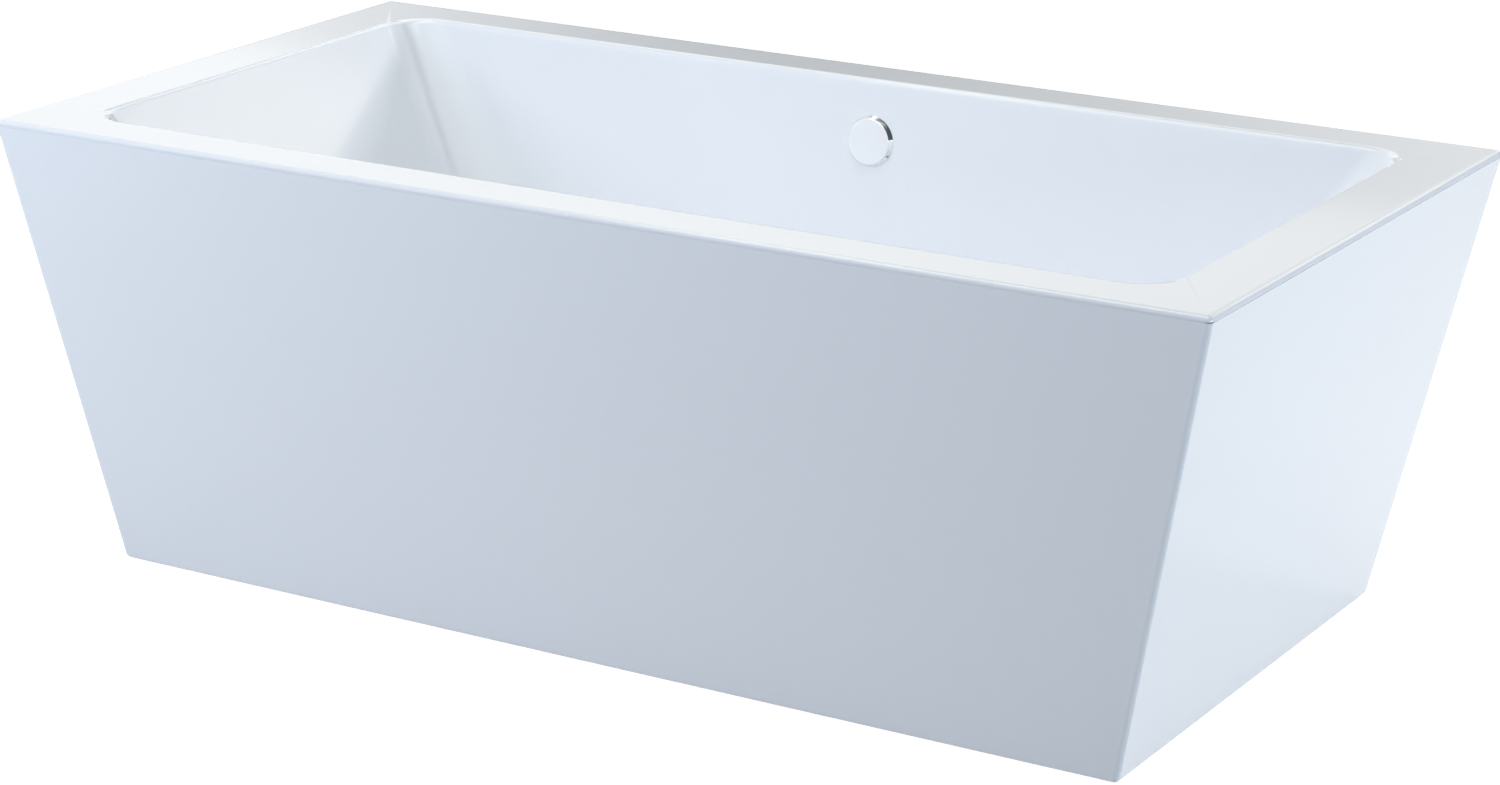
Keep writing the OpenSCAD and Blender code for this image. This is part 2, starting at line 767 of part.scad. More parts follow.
module tailpiece() {
  color(CHROME) {
    pipe(tail_r, tail_t, tail_gap, tee_bottom + insert_l - SLIP_FIT);
    translate([0, 0, tail_bead_z]) washer(tail_r + tail_bead_w, tail_r - tail_t / 2, tail_bead_h);
  }
}

module cross_pipe() {
  color(PLASTIC)
    translate([0, 0, pipe_z]) rotate([-90, 0, 0])
      pipe(pipe_r, pipe_t, tee_port_y - insert_l + SLIP_FIT,
           corner_y - lower_reach - socket_l + insert_l - SLIP_FIT);
}

module overflow_riser() {
  color(PLASTIC)
    on_wall() translate([0, riser_off, 0])
      pipe(pipe_r, pipe_t, -riser_foot + lower_reach + socket_l - insert_l + SLIP_FIT,
           -bend_r - socket_l + insert_l - SLIP_FIT);
}

// Elbows: a thinner bend between two hubs, each bored to a shoulder that stops the pipe
bend_out_r = socket_r - 1.5;
bend_in_r = pipe_r - pipe_t;
shoulder_r = pipe_r - 1;

// A bend that starts at the origin along +Y and turns up towards +Z by the given angle
module bend(turn, r) {
  translate([0, 0, bend_r]) rotate([0, 90, 0])
    rotate_extrude(angle = turn) translate([bend_r, 0]) circle(r);
}

// Moves children from the start of a bend to its end, where it runs along their +Z
module bend_end(turn) {
  translate([0, 0, bend_r]) rotate([turn, 0, 0]) translate([0, 0, -bend_r]) rotate([-90, 0, 0]) children();
}

// An elbow's hub along +Z, and the hole through it with its counterbore for the pipe
module hub() {
  translate([0, 0, -EPS]) cylinder(r = socket_r, h = socket_l + EPS);
}
module hub_bore() {
  translate([0, 0, -2 * EPS]) cylinder(r = shoulder_r, h = socket_l);
  translate([0, 0, socket_l - insert_l]) cylinder(r = pipe_r + TURN_FIT, h = insert_l + 1);
}

module lower_elbow() {
  color(PLASTIC)
    translate([0, corner_y - lower_reach, pipe_z])
      difference() {
        union() {
          bend(lower_turn, bend_out_r);
          rotate([90, 0, 0]) hub();
          bend_end(lower_turn) hub();
        }
        bend(lower_turn, bend_in_r);
        rotate([90, 0, 0]) hub_bore();
        bend_end(lower_turn) hub_bore();
      }
}

// The overflow's threaded flange passes through the wall into the elbow behind it
flange_barrel_r = overflow_hole_d / 2 - 2;
flange_bore_r = flange_barrel_r - 3;
gasket_r = overflow_hole_d / 2 + 11;
elbow_back = shell_t + gasket_t;
elbow_plate_t = 4;
elbow_neck_r = flange_barrel_r + 3.5;
elbow_start = riser_off - bend_r;

module overflow_gasket() {
  color(RUBBER) on_wall() along_y(shell_t + LEAN_GAP)
    washer(gasket_r, flange_barrel_r + SLIP_FIT, gasket_t - 2 * LEAN_GAP);
}

module overflow_elbow() {
  color(PLASTIC)
    on_wall()
      difference() {
        union() {
          along_y(elbow_back) cylinder(r = gasket_r, h = elbow_plate_t);
          along_y(elbow_back) cylinder(r = elbow_neck_r, h = elbow_start - elbow_back + EPS);
          translate([0, elbow_start, 0]) mirror([0, 0, 1]) {
            bend(90, bend_out_r);
            bend_end(90) hub();
          }
        }
        along_y(elbow_back - 1) cylinder(r = flange_barrel_r + TURN_FIT, h = elbow_start - elbow_back - 1);
        along_y(elbow_back - 1) cylinder(r = shoulder_r, h = elbow_start - elbow_back + 1 + EPS);
        translate([0, elbow_start, 0]) mirror([0, 0, 1]) {
          bend(90, bend_in_r);
          bend_end(90) hub_bore();
        }
      }
}

overflow_plate_r = overflow_face_d / 2 - 1.5;
overflow_plate_t = 4;
ring_r = 1;
flange_reach = elbow_start - 3;

module overflow_flange() {
  color(CHROME)
    on_wall()
      difference() {
        union() {
          along_y(-overflow_plate_t) cylinder(r = overflow_plate_r, h = overflow_plate_t - LEAN_GAP);
          along_y(-LEAN_GAP - EPS) cylinder(r = flange_barrel_r, h = flange_reach);
        }
        along_y(-overflow_plate_t - 1) cylinder(r = flange_bore_r, h = flange_reach + overflow_plate_t + 2);
        along_y(-overflow_plate_t / 2) rotate_extrude()
          translate([overflow_plate_r, 0]) circle(ring_r + TURN_FIT);
      }
}

module overflow_ring() {
  color(RUBBER)
    on_wall() along_y(-overflow_plate_t / 2) rotate_extrude() translate([overflow_plate_r, 0]) circle(ring_r);
}

cap_plate_t = 2;
cap_bevel = 0.8;
cap_slot_w = 3.5;
cap_slot_h = 4;
// The cap's hollow, which grips the ring
cap_in_r = overflow_plate_r + ring_r + 2 * TURN_FIT;

module overflow_cap() {
  r = overflow_cap_d / 2;
  face_r = overflow_face_d / 2;
  h = overflow_cap_h;
  // Radius of the tapered side at a distance off the wall
  function side_r(off) = r - (r - face_r) * (off - SLIP_FIT) / (h - SLIP_FIT);
  color(CHROME)
    on_wall() along_y(0) mirror([0, 0, 1])
      difference() {
        rotate_extrude()
          polygon([
            [0, h - cap_plate_t], [cap_in_r, h - cap_plate_t], [cap_in_r, SLIP_FIT], [r, SLIP_FIT],
            [side_r(h - cap_bevel), h - cap_bevel], [face_r - cap_bevel, h], [0, h]
          ]);
        for (turn = [90, 210, 330])
          rotate([0, 0, turn]) translate([cap_in_r - 1, -cap_slot_w / 2, 0])
            cube([r - cap_in_r + 2, cap_slot_w, cap_slot_h]);
      }
}

basin();
skirt();
bonding_bead();
base_board();
rail(-1);  // front_rail
rail(1);  // back_rail
crossbar(-1);  // left_crossbar
crossbar(1);  // right_crossbar
tube_end_plugs();
frame_bolts();
frame_nuts();
board_screws();
foot_weld_nuts();
foot_jam_nuts();
foot_stem(-1, -1);  // foot_stem_front_left
foot_stem(1, -1);  // foot_stem_front_right
foot_stem(-1, 1);  // foot_stem_back_left
foot_stem(1, 1);  // foot_stem_back_right
foot_pad(-1, -1);  // foot_pad_front_left
foot_pad(1, -1);  // foot_pad_front_right
foot_pad(-1, 1);  // foot_pad_back_left
foot_pad(1, 1);  // foot_pad_back_right
drain_flange();
drain_gasket();
stopper_cap();
stopper_seal();
stopper_plunger();
stopper_barrel();
stopper_spring();
waste_tee();
tailpiece();
cross_pipe();
lower_elbow();
overflow_riser();
overflow_elbow();
overflow_gasket();
overflow_flange();
overflow_ring();
overflow_cap();
slip_nuts();
slip_washers();
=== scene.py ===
import json
import math

import bmesh
import bpy
from bpy.props import FloatProperty, FloatVectorProperty, IntProperty, PointerProperty
from mathutils import Matrix, Vector


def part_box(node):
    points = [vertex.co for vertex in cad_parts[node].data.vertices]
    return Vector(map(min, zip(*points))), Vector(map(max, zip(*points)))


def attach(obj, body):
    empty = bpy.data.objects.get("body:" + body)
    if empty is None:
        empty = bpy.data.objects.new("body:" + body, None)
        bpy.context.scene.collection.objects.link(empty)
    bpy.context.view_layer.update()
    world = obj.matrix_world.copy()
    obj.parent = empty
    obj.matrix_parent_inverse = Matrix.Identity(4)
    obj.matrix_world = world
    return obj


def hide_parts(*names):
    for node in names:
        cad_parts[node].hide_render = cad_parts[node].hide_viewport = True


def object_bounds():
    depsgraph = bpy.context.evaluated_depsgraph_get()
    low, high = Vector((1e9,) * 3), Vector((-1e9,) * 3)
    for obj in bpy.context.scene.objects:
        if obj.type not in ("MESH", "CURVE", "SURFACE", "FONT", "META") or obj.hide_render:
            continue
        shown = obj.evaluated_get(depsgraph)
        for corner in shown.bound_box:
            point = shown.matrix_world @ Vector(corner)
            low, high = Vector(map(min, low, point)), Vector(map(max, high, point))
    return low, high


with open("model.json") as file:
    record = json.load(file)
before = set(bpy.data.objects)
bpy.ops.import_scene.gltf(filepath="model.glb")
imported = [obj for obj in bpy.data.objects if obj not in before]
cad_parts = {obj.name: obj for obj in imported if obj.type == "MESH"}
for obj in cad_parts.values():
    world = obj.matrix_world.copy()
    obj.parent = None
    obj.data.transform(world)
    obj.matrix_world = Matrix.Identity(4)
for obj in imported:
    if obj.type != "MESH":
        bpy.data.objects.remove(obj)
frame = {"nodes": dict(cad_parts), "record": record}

bl_info = {
    "name": "Freestanding Bathtub",
    "version": (1, 0, 0),
    "blender": (4, 5, 0),
    "location": "3D View > Sidebar > Bathtub",
    "description": "Builds a rectangular freestanding bathtub with its drain, overflow and frame",
    "category": "Add Mesh",
}

CAD_LOW, CAD_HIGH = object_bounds()
MM = 0.001
RIGHT = math.radians(90)
SIDES = (-1, 1)
SQUARE = ((-1, -1), (1, -1), (1, 1), (-1, 1))
UNMOVED = Matrix.Identity(4)
SOFT_SHARP = 35  # Angle in degrees above which a moulded or cast edge is shaded sharp


# ---------------- settings

def length(name, default, description):
    """A size that a user can set, given in millimetres."""
    return FloatProperty(name=name, default=default * MM, description=description, min=0, unit="LENGTH",
                         precision=4)


def angle(name, degrees, description):
    """An angle that a user can set."""
    return FloatProperty(name=name, default=math.radians(degrees), description=description, unit="ROTATION")


def colour(name, value, description):
    """A linear colour that a user can set."""
    return FloatVectorProperty(name=name, default=value, description=description, subtype="COLOR",
                               min=0, max=1)


def count(name, default, description):
    """A whole number that a user can set."""
    return IntProperty(name=name, default=default, description=description, min=1)


class BathtubShellSizes(bpy.types.PropertyGroup):
    """Sizes of the basin moulding and the skirt."""

    tub_l: length("Length", (CAD_HIGH.x - CAD_LOW.x) / MM, "Length over the rim")
    tub_w: length("Width", (CAD_HIGH.y - CAD_LOW.y) / MM, "Width over the rim")
    tub_h: length("Height", CAD_HIGH.z / MM, "Height from the floor to the rim")
    rim_end: length("Rim at the ends", 86, "Width of the rim at each end")
    rim_side: length("Rim at the sides", 69, "Width of the rim along each long side")
    rim_lip: length("Rim edge height", 7, "Height of the rim's turned-down edge")
    rim_ease_r: length("Rim ease", 20, "Wide radius that starts the rounding of the rim's edge")
    rim_ease: angle("Rim ease angle", 12, "Angle at which the wide radius gives way to the tight one")
    rim_straight: length("Rim edge straight", 1, "Straight part of the rim's edge, below its rounding")
    seam_ease: length("Seam ease", 0.5, "Rounding of the edges on both sides of the seam under the rim")
    corner_r: length("Outer corners", 7, "Rounding of the outer corners, seen from above")
    bond_w: length("Bond", 30, "Width of the flat that the skirt is bonded to")
    bead_t: length("Bead", 1, "Thickness of the bead between rim and skirt")
    shell_t: length("Basin wall", 6, "Thickness of the basin moulding")
    basin_depth: length("Basin depth", 450, "Depth from the rim to the edge of the basin floor")
    floor_fall: length("Floor fall", 5, "Fall of the basin floor towards the drain")
    side_slope: angle("Long wall lean", 7, "Lean of the two long walls from the vertical")
    end_slope: angle("End wall lean", 29, "Lean of the two end walls from the vertical")
    side_roll_r: length("Long wall roll", 8, "Radius where the rim rolls into a long wall")
    end_roll_r: length("End wall roll", 8, "Radius where the rim rolls into an end wall")
    floor_r: length("Floor radius", 90, "Radius between the walls and the floor")
    opening_r: length("Opening corners", 60, "Corner radius of the opening")
    floor_corner_r: length("Floor corners", 110, "Corner radius of the basin at floor level")
    recess_depth: length("Recess depth", 1.5, "Depth of the recess at the ends of the opening")
    recess_setback: length("Recess setback", 34, "Recess's short sides, in from the long edges")
    recess_r: length("Recess corners", 14, "Corner radius of the recess")
    recess_ease: length("Recess ease", 0.8, "Rounding at the top and the foot of the recess's step")
    end_lean: length("End lean", 125, "How far the skirt's ends lean in at the floor")
    side_lean: length("Side lean", 64, "How far the skirt's long sides lean in at the floor")
    skirt_t: length("Skirt wall", 5, "Thickness of the skirt")
    hem_w: length("Hem", 30, "Width of the skirt's turned-in hem")
    hem_r: length("Hem rounding", 6, "Rounding of the skirt's lower edge")
    corner_steps: count("Corner steps", 20, "Faces round one corner of a moulding")
    roll_steps: count("Roll steps", 8, "Faces round a small edge radius")
    floor_steps: count("Floor steps", 16, "Faces round the floor radius")
    wall_steps: count("Wall steps", 10, "Rows of faces between rim and floor radius")


class BathtubFittingSizes(bpy.types.PropertyGroup):
    """Sizes of the drain and overflow fittings."""

    drain_flange_r: length("Drain flange radius", 35, "Radius of the flange in the drain recess")
    drain_hole_r: length("Drain hole radius", 26, "Radius of the hole in the basin floor")
    drain_land_w: length("Drain land", 12, "Width of the flat round the drain recess")
    drain_recess: length("Drain recess", 2, "Depth of the recess that the flange lies in")
    overflow_drop: length("Overflow drop", 82, "Middle of the overflow, down from the rim")
    overflow_hole_r: length("Overflow hole radius", 25, "Radius of the hole behind the cap")
    cap_r: length("Cap radius", 34.5, "Radius of the overflow cap at the wall")
    cap_face_r: length("Cap face radius", 30.5, "Radius of the face that the cap's side tapers to")
    cap_h: length("Cap height", 7, "How far the overflow cap stands off the wall")
    cap_hollow_r: length("Cap hollow", 30.1, "Radius of the hollow behind the cap's face")
    cap_plate: length("Cap plate", 2, "Thickness of the cap's face")
    cap_edge_r: length("Cap edge", 1.2, "Rounding between the cap's side and its face")
    cap_crown: length("Cap crown", 0.25, "How far the middle of the cap's face stands proud of its edge")
    slot_w: length("Slot width", 3.5, "Width of the three water slots in the cap's edge")
    slot_h: length("Slot height", 4, "Height of the three water slots")
    turn_steps: count("Turned steps", 144, "Faces round a turned fitting")
    barrel_r: length("Drain barrel radius", 23, "Outside radius of the barrel under the drain flange")
    barrel_wall: length("Drain barrel wall", 2.5, "Wall of the barrel under the drain flange")
    barrel_pitch: length("Drain barrel pitch", 2.3, "Pitch of the thread on the drain's barrel")
    spider_r: length("Spider boss radius", 7, "Outside radius of the boss that guides the stopper's post")
    spider_bore_r: length("Spider bore radius", 4.05, "Radius of the hole that the stopper's post runs in")
    spider_t: length("Spider arm width", 3, "Width of the four arms of the spider")
    spider_h: length("Spider height", 6, "Height of the spider's boss and arms")


class BathtubFixingSizes(bpy.types.PropertyGroup):
    """Sizes of the frame's bolts, nuts and screws and of the feet."""

    foot_x: length("Foot X", 502, "Feet, out from the middle along the tub")
    foot_y: length("Foot Y", 252, "Feet, out from the middle across the tub")
    bolt_y: length("Bolt Y", 166, "Frame bolts and board screws, out from the middle across the tub")
    screw_x: length("Screw X", 336, "Outer board screws, out from the middle along the tub")
    stem_r: length("Stem radius", 6, "Radius of the feet's threaded stems")
    stem_pitch: length("Stem pitch", 1.75, "Pitch of the stems' thread")
    collar_r: length("Collar radius", 9.8, "Radius over the corners of the stems' hexagon collar")
    collar_h: length("Collar height", 8, "Height of the stems' hexagon collar")
    foot_nut_r: length("Foot nut radius", 10.8, "Radius over the corners of the nuts on the stems")
    bolt_r: length("Bolt radius", 4, "Radius of the frame bolts")
    bolt_pitch: length("Bolt pitch", 1.25, "Pitch of the frame bolts' thread")
    bolt_thread: length("Bolt thread", 22, "Length of the frame bolts' thread")
    bolt_head_r: length("Bolt head radius", 7.5, "Radius over the corners of the bolt heads and their nuts")
    bolt_head_h: length("Bolt head height", 5.3, "Height of the frame bolts' heads")
    screw_r: length("Screw radius", 2.2, "Radius of the board screws")
    screw_pitch: length("Screw pitch", 1.8, "Pitch of the board screws' thread")
    screw_head_r: length("Screw head radius", 4.5, "Radius of the board screws' heads")
    screw_head_h: length("Screw head height", 3, "Height of the board screws' heads")
    pad_r: length("Pad radius", 28, "Radius of the rubber pads")
    pad_rim_h: length("Pad rim height", 6, "Height of the pads' fluted rim")
    pad_neck_r: length("Pad neck radius", 13, "Radius of the pads at their top")
    pad_flutes: count("Pad flutes", 36, "Flutes round a pad's rim")
    turn_fit: length("Turning fit", 0.05, "Gap round a part that turns in another")
    slip_fit: length("Slip fit", 0.3, "Gap under a part that rests in another")


class BathtubColours(bpy.types.PropertyGroup):
    """Base colours of the finishes, as linear values."""

    acrylic: colour("Acrylic", (0.87, 0.89, 0.92), "Basin and skirt")
    chrome: colour("Chrome", (0.95, 0.955, 0.96), "Drain and overflow fittings")
    zinc: colour("Zinc", (0.60, 0.61, 0.62), "Bolts, nuts and stems")
    frame_paint: colour("Frame paint", (0.42, 0.44, 0.47), "Steel frame")
    board: colour("Board", (0.50, 0.36, 0.20), "Base board")
    plastic: colour("White plastic", (0.78, 0.78, 0.75), "Pipework")
    black: colour("Black plastic", (0.03, 0.03, 0.034), "Plugs and foot pads")
    rubber: colour("Rubber", (0.028, 0.028, 0.03), "Seals")
    sealant: colour("Sealant", (0.82, 0.83, 0.85), "Bonding bead")


class BathtubStudio(bpy.types.PropertyGroup):
    """Light, floor and camera."""

    floor_tone: colour("Floor", (0.5, 0.5, 0.5), "Colour of the floor in its own light")
    floor_white: FloatProperty(name="Floor white", default=0.95, min=0, max=1,
                               description="How much white the floor shows besides its own light")
    sky: colour("Sky", (0.80, 0.86, 1.0), "Colour of the light from all round")
    sky_level: FloatProperty(name="Sky level", default=0.0, min=0,
                             description="Strength of the light from all round")
    lens: FloatProperty(name="Lens", default=95.09, min=1, unit="CAMERA",
                        description="Focal length of the camera")
    azimuth: angle("Camera azimuth", 31.28, "Turn of the camera round the tub")
    elevation: angle("Camera elevation", 17.69, "Height angle of the camera")


def settings():
    """The sizes of the shell and of the fittings."""
    return bpy.context.scene.bathtub_shell, bpy.context.scene.bathtub_fittings


# ---------------- meshes

def new_piece(name, points, faces):
    """A mesh object from points and faces, linked to the scene."""
    mesh = bpy.data.meshes.new(name)
    mesh.from_pydata([tuple(p) for p in points], [], faces)
    mesh.validate()
    piece = bpy.data.objects.new(name, mesh)
    bpy.context.scene.collection.objects.link(piece)
    return piece


def face_outwards(piece):
    """Turns every face of a closed mesh outwards, after merging doubled points."""
    work = bmesh.new()
    work.from_mesh(piece.data)
    bmesh.ops.remove_doubles(work, verts=work.verts, dist=1e-6)
    bmesh.ops.recalc_face_normals(work, faces=work.faces)
    work.to_mesh(piece.data)
    work.free()


def smooth(piece, sharp=SOFT_SHARP):
    """Smooth shading that leaves edges sharper than the angle alone and keeps flats flat."""
    for polygon in piece.data.polygons:
        polygon.use_smooth = True
    piece.data.set_sharp_from_angle(angle=math.radians(sharp))
    weighted = piece.modifiers.new("even_shading", "WEIGHTED_NORMAL")
    weighted.mode = "FACE_AREA"
    weighted.weight = 60
    weighted.keep_sharp = True


def settle(piece, body, slot, node):
    """Gives a finished piece its body and the finish of its slot, and hides the node it stands for."""
    piece.data.materials.clear()
    piece.data.materials.append(slot_finish(slot))
    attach(piece, body)
    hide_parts(node)


def cut(piece, *cutters):
    """Cuts the cutters out of a piece and removes them."""
    for cutter in cutters:
        face_outwards(cutter)
        modifier = piece.modifiers.new("cut", "BOOLEAN")
        modifier.operation = "DIFFERENCE"
        modifier.solver = "EXACT"
        modifier.object = cutter
    bake(piece)
    for cutter in cutters:
        bpy.data.objects.remove(cutter)


def bake(piece):
    """Replaces a piece's mesh by what its modifiers make of it, and removes them."""
    bpy.context.view_layer.update()
    evaluated = piece.evaluated_get(bpy.context.evaluated_depsgraph_get())
    mesh = bpy.data.meshes.new_from_object(evaluated)
    piece.modifiers.clear()
    piece.data = mesh


def hoop_faces(rings, size, closed=True):
    """Quads between rings of equal size; a closed hoop joins its last ring to its first."""
    faces = []
    for k in range(rings if closed else rings - 1):
        m = (k + 1) % rings
        for i in range(size):
            j = (i + 1) % size
            faces.append((k * size + i, k * size + j, m * size + j, m * size + i))
    return faces


def capped(name, rings):
    """A closed piece from rings of equal size, with a face over the first and over the last."""
    size, last = len(rings[0]), (len(rings) - 1) * len(rings[0])
    caps = [tuple(reversed(range(size))), tuple(range(last, last + size))]
    return new_piece(name, sum(rings, []), hoop_faces(len(rings), size, closed=False) + caps)


def circle(r, z, size, place=UNMOVED, start=0.0):
    """Points evenly round a circle about Z, moved by a matrix; start is a share of one step."""
    return [place @ Vector((r * math.cos(t), r * math.sin(t), z))
            for t in (2 * math.pi * (i + start) / size for i in range(size))]


def turned(name, profile, steps, place=UNMOVED):
    """A profile of (radius, height) turned round Z, then moved by a matrix.

    A profile that starts and ends on the axis gives a solid; any other one is closed into a hoop.
    """
    rings = [circle(r, z, steps, place) for r, z in profile]
    piece = new_piece(name, sum(rings, []), hoop_faces(len(rings), steps, profile[0][0] > 0))
    face_outwards(piece)
    return piece


def cutting_block(name, middle_x, half_x, half_y, low, high, top_share=1.0, place=UNMOVED):
    """A block between two heights; its top is as large as a share of its foot."""
    return capped(name, [
        [place @ Vector((middle_x + x * half_x * share, y * half_y * share, z)) for x, y in SQUARE]
        for z, share in ((low, 1), (high, top_share))])


def near(r, z, steps):
    """Profile points at so many millimetres out and up from one point."""
    return [(r + out * MM, z + up * MM) for out, up in steps]


def arc(centre, radius, start, end, steps):
    """Points of an arc in a profile, angles in degrees."""
    points = []
    for i in range(steps + 1):
        t = math.radians(start + (end - start) * i / steps)
        points.append((centre[0] + radius * math.cos(t), centre[1] + radius * math.sin(t)))
    return points


def corner_ring(a, b, r, z_end, z_side, steps):
    """A rounded rectangle whose height is z_end at the ends and z_side along the sides."""
    points = []
    for quadrant in range(4):
        sx = 1 if quadrant in (0, 3) else -1
        sy = 1 if quadrant < 2 else -1
        for i in range(steps + 1):
            t = RIGHT * (quadrant + i / steps)
            c, s = math.cos(t), math.sin(t)
            points.append(Vector((sx * (a - r) + r * c, sy * (b - r) + r * s,
                                  z_end * c * c + z_side * s * s)))
    return points


def round_ring(r, z, steps):
    """As many points as a corner ring has, evenly round a circle."""
    return circle(r, z, 4 * (steps + 1), start=0.5)


def between(low, high, steps):
    """Rings that divide the way from one ring to the next into equal steps, ends left out."""
    return [[p.lerp(q, k / steps) for p, q in zip(low, high)] for k in range(1, steps)]


# ---------------- basin

EASE_STEPS = 4  # Faces over a gentle rounding or a chamfer
MIDDLE_INSET = 0.3  # A small rounding's middle point, in from both its faces, as a share of its radius
LEAST_R = 0.3 * MM  # Smallest corner radius that an inset ring keeps
FLANGE_GAP = 1 * MM  # Gap round the drain flange in its recess
RECESS_EDGE_W = 0.4 * MM  # Chamfer round the drain recess
RECESS_EDGE_H = 0.2 * MM
RECESS_ABOVE = 10 * MM  # How far the cutter of the opening's recess reaches above the rim
HOLE_REACH = 20 * MM  # How far the overflow's cutter reaches to both sides of the wall's face


def tangent(r, turn):
    """Length that a radius takes up on each side of a corner that turns by the angle."""
    return r * math.tan(turn / 2)


def slope_edge(roll, slope):
    """Where a wall's slope meets the plane of the rim, in from the opening's edge."""
    return tangent(roll, RIGHT - slope)


def wall_profile(shell, edge, top, depth, slope, roll, foot):
    """One wall as (offset in from the opening's edge, depth, slope angle), from rim to floor."""
    turn = RIGHT - slope
    run = (depth - top) * math.tan(slope)
    rows = []
    for i in range(shell.roll_steps + 1):
        t = turn * i / shell.roll_steps
        rows.append((edge - tangent(roll, turn) + roll * math.sin(t), top + roll - roll * math.cos(t), t))
    for i in range(shell.floor_steps + 1):
        t = turn * (1 - i / shell.floor_steps)
        rows.append((edge + run + tangent(foot, turn) - foot * math.sin(t),
                     depth - foot + foot * math.cos(t), t))
    return rows


def basin_rings(shell, behind):
    """Rings of one face of the basin, rim first; behind is how far it lies behind the inside."""
    opening_a = shell.tub_l / 2 - shell.rim_end
    opening_b = shell.tub_w / 2 - shell.rim_side
    depth = shell.basin_depth + (shell.floor_fall + behind if behind else 0)
    walls = []
    for roll, slope in ((shell.end_roll_r, shell.end_slope), (shell.side_roll_r, shell.side_slope)):
        edge = slope_edge(roll, slope) + behind * math.tan(slope) - behind / math.cos(slope)
        walls.append(wall_profile(shell, edge, behind, depth, slope, roll - behind, shell.floor_r + behind))
    rings = []
    for end, side in zip(*walls):
        share = min(end[1], shell.basin_depth) / shell.basin_depth
        radius = shell.opening_r + (shell.floor_corner_r - shell.opening_r) * share
        radius += behind * math.sin(end[2])
        rings.append(corner_ring(opening_a - end[0], opening_b - side[0], radius,
                                 shell.tub_h - end[1], shell.tub_h - side[1], shell.corner_steps))
    first = shell.roll_steps
    return rings[:first + 1] + between(rings[first], rings[first + 1], shell.wall_steps) + rings[first + 1:]


def rim_rings(shell):
    """Rings of the rim's outer edge, from the flat top round to the bond under it."""
    a, b, steps = shell.tub_l / 2, shell.tub_w / 2, shell.corner_steps
    lip_z = shell.tub_h - shell.rim_lip
    wide, ease = shell.rim_ease_r, shell.rim_ease
    drop = shell.rim_lip - shell.rim_straight - wide * (1 - math.cos(ease))
    tight = drop / math.cos(ease)
    reach = wide * math.sin(ease) + tight * (1 - math.sin(ease))
    profile = [(reach - wide * math.sin(t), shell.tub_h - wide * (1 - math.cos(t)))
               for t in (ease * i / EASE_STEPS for i in range(EASE_STEPS))]
    for i in range(shell.roll_steps + 1):
        t = ease + (RIGHT - ease) * i / shell.roll_steps
        profile.append((tight * (1 - math.sin(t)), lip_z + shell.rim_straight + tight * math.cos(t)))
    rings = [corner_ring(a - inset, b - inset, max(shell.corner_r - inset, LEAST_R), z, z, steps)
             for inset, z in profile]
    e = shell.seam_ease
    middle = e * MIDDLE_INSET
    for inset, radius, z in ((0, shell.corner_r, lip_z + e), (middle, shell.corner_r, lip_z + middle),
                             (e, shell.corner_r - e, lip_z), (shell.bond_w, shell.corner_r / 2, lip_z),
                             (shell.bond_w + shell.shell_t, shell.corner_r, shell.tub_h - shell.shell_t)):
        rings.append(corner_ring(a - inset, b - inset, radius, z, z, steps))
    return rings


def wall_place(shell, fit):
    """Matrix of the overflow: its Z points out of the long wall, into the tub."""
    opening_b = shell.tub_w / 2 - shell.rim_side
    y = opening_b - slope_edge(shell.side_roll_r, shell.side_slope)
    y -= fit.overflow_drop * math.tan(shell.side_slope)
    tilt = Matrix.Rotation(RIGHT - shell.side_slope, 4, "X")
    return Matrix.Translation((0, y, shell.tub_h - fit.overflow_drop)) @ tilt


def recess_cutter(shell):
    """The slab that sinks the ends of the opening a little below the rim."""
    a = shell.tub_l / 2 - shell.rim_end
    b = shell.tub_w / 2 - shell.rim_side - shell.recess_setback
    depth, ease = shell.recess_depth, shell.recess_ease
    quarter = [RIGHT * i / EASE_STEPS for i in range(EASE_STEPS + 1)]
    rows = [(ease * (1 - math.sin(t)), depth * (1 - (1 - math.cos(t)) / 2)) for t in quarter]
    rows += [(-ease * (1 - math.cos(t)), depth / 2 * (1 - math.sin(t))) for t in quarter[1:]]
    rows.append((-ease, -RECESS_ABOVE))
    return capped("recess_cutter", [
        corner_ring(a - ease - inset, b - ease - inset, shell.recess_r - inset, shell.tub_h - down,
                    shell.tub_h - down, shell.corner_steps) for inset, down in rows])


def hole_cutter(shell, fit):
    """A bar through the long wall where the overflow's flange goes."""
    place = wall_place(shell, fit)
    return capped("hole_cutter", [circle(fit.overflow_hole_r, side * HOLE_REACH, fit.turn_steps, place)
                                  for side in SIDES])


class BATHTUB_OT_basin(bpy.types.Operator):
    """Build the basin moulding with its rim, recess, drain and overflow holes"""

    bl_idname = "bathtub.basin"
    bl_label = "Basin"

    def execute(self, context):
        shell, fit = settings()
        steps = shell.corner_steps
        drain_z = shell.tub_h - shell.basin_depth - shell.floor_fall
        seat_z = drain_z - fit.drain_recess
        seat_r = fit.drain_flange_r + FLANGE_GAP
        land = round_ring(fit.drain_flange_r + fit.drain_land_w, drain_z, steps)
        inside = basin_rings(shell, 0)
        hole = [round_ring(r, z, steps) for r, z in (
            (fit.drain_hole_r, drain_z - shell.shell_t), (fit.drain_hole_r, seat_z), (seat_r, seat_z),
            (seat_r, drain_z - RECESS_EDGE_H), (seat_r + RECESS_EDGE_W, drain_z))]
        rings = [land] + between(land, inside[-1], shell.wall_steps) + inside[::-1]
        rings += rim_rings(shell) + basin_rings(shell, shell.shell_t) + hole
        piece = new_piece("basin_shell", sum(rings, []), hoop_faces(len(rings), len(land)))
        face_outwards(piece)
        cut(piece, recess_cutter(shell), hole_cutter(shell, fit))
        smooth(piece)
        settle(piece, "tub", "acrylic", "basin")
        return {"FINISHED"}


# ---------------- node trees

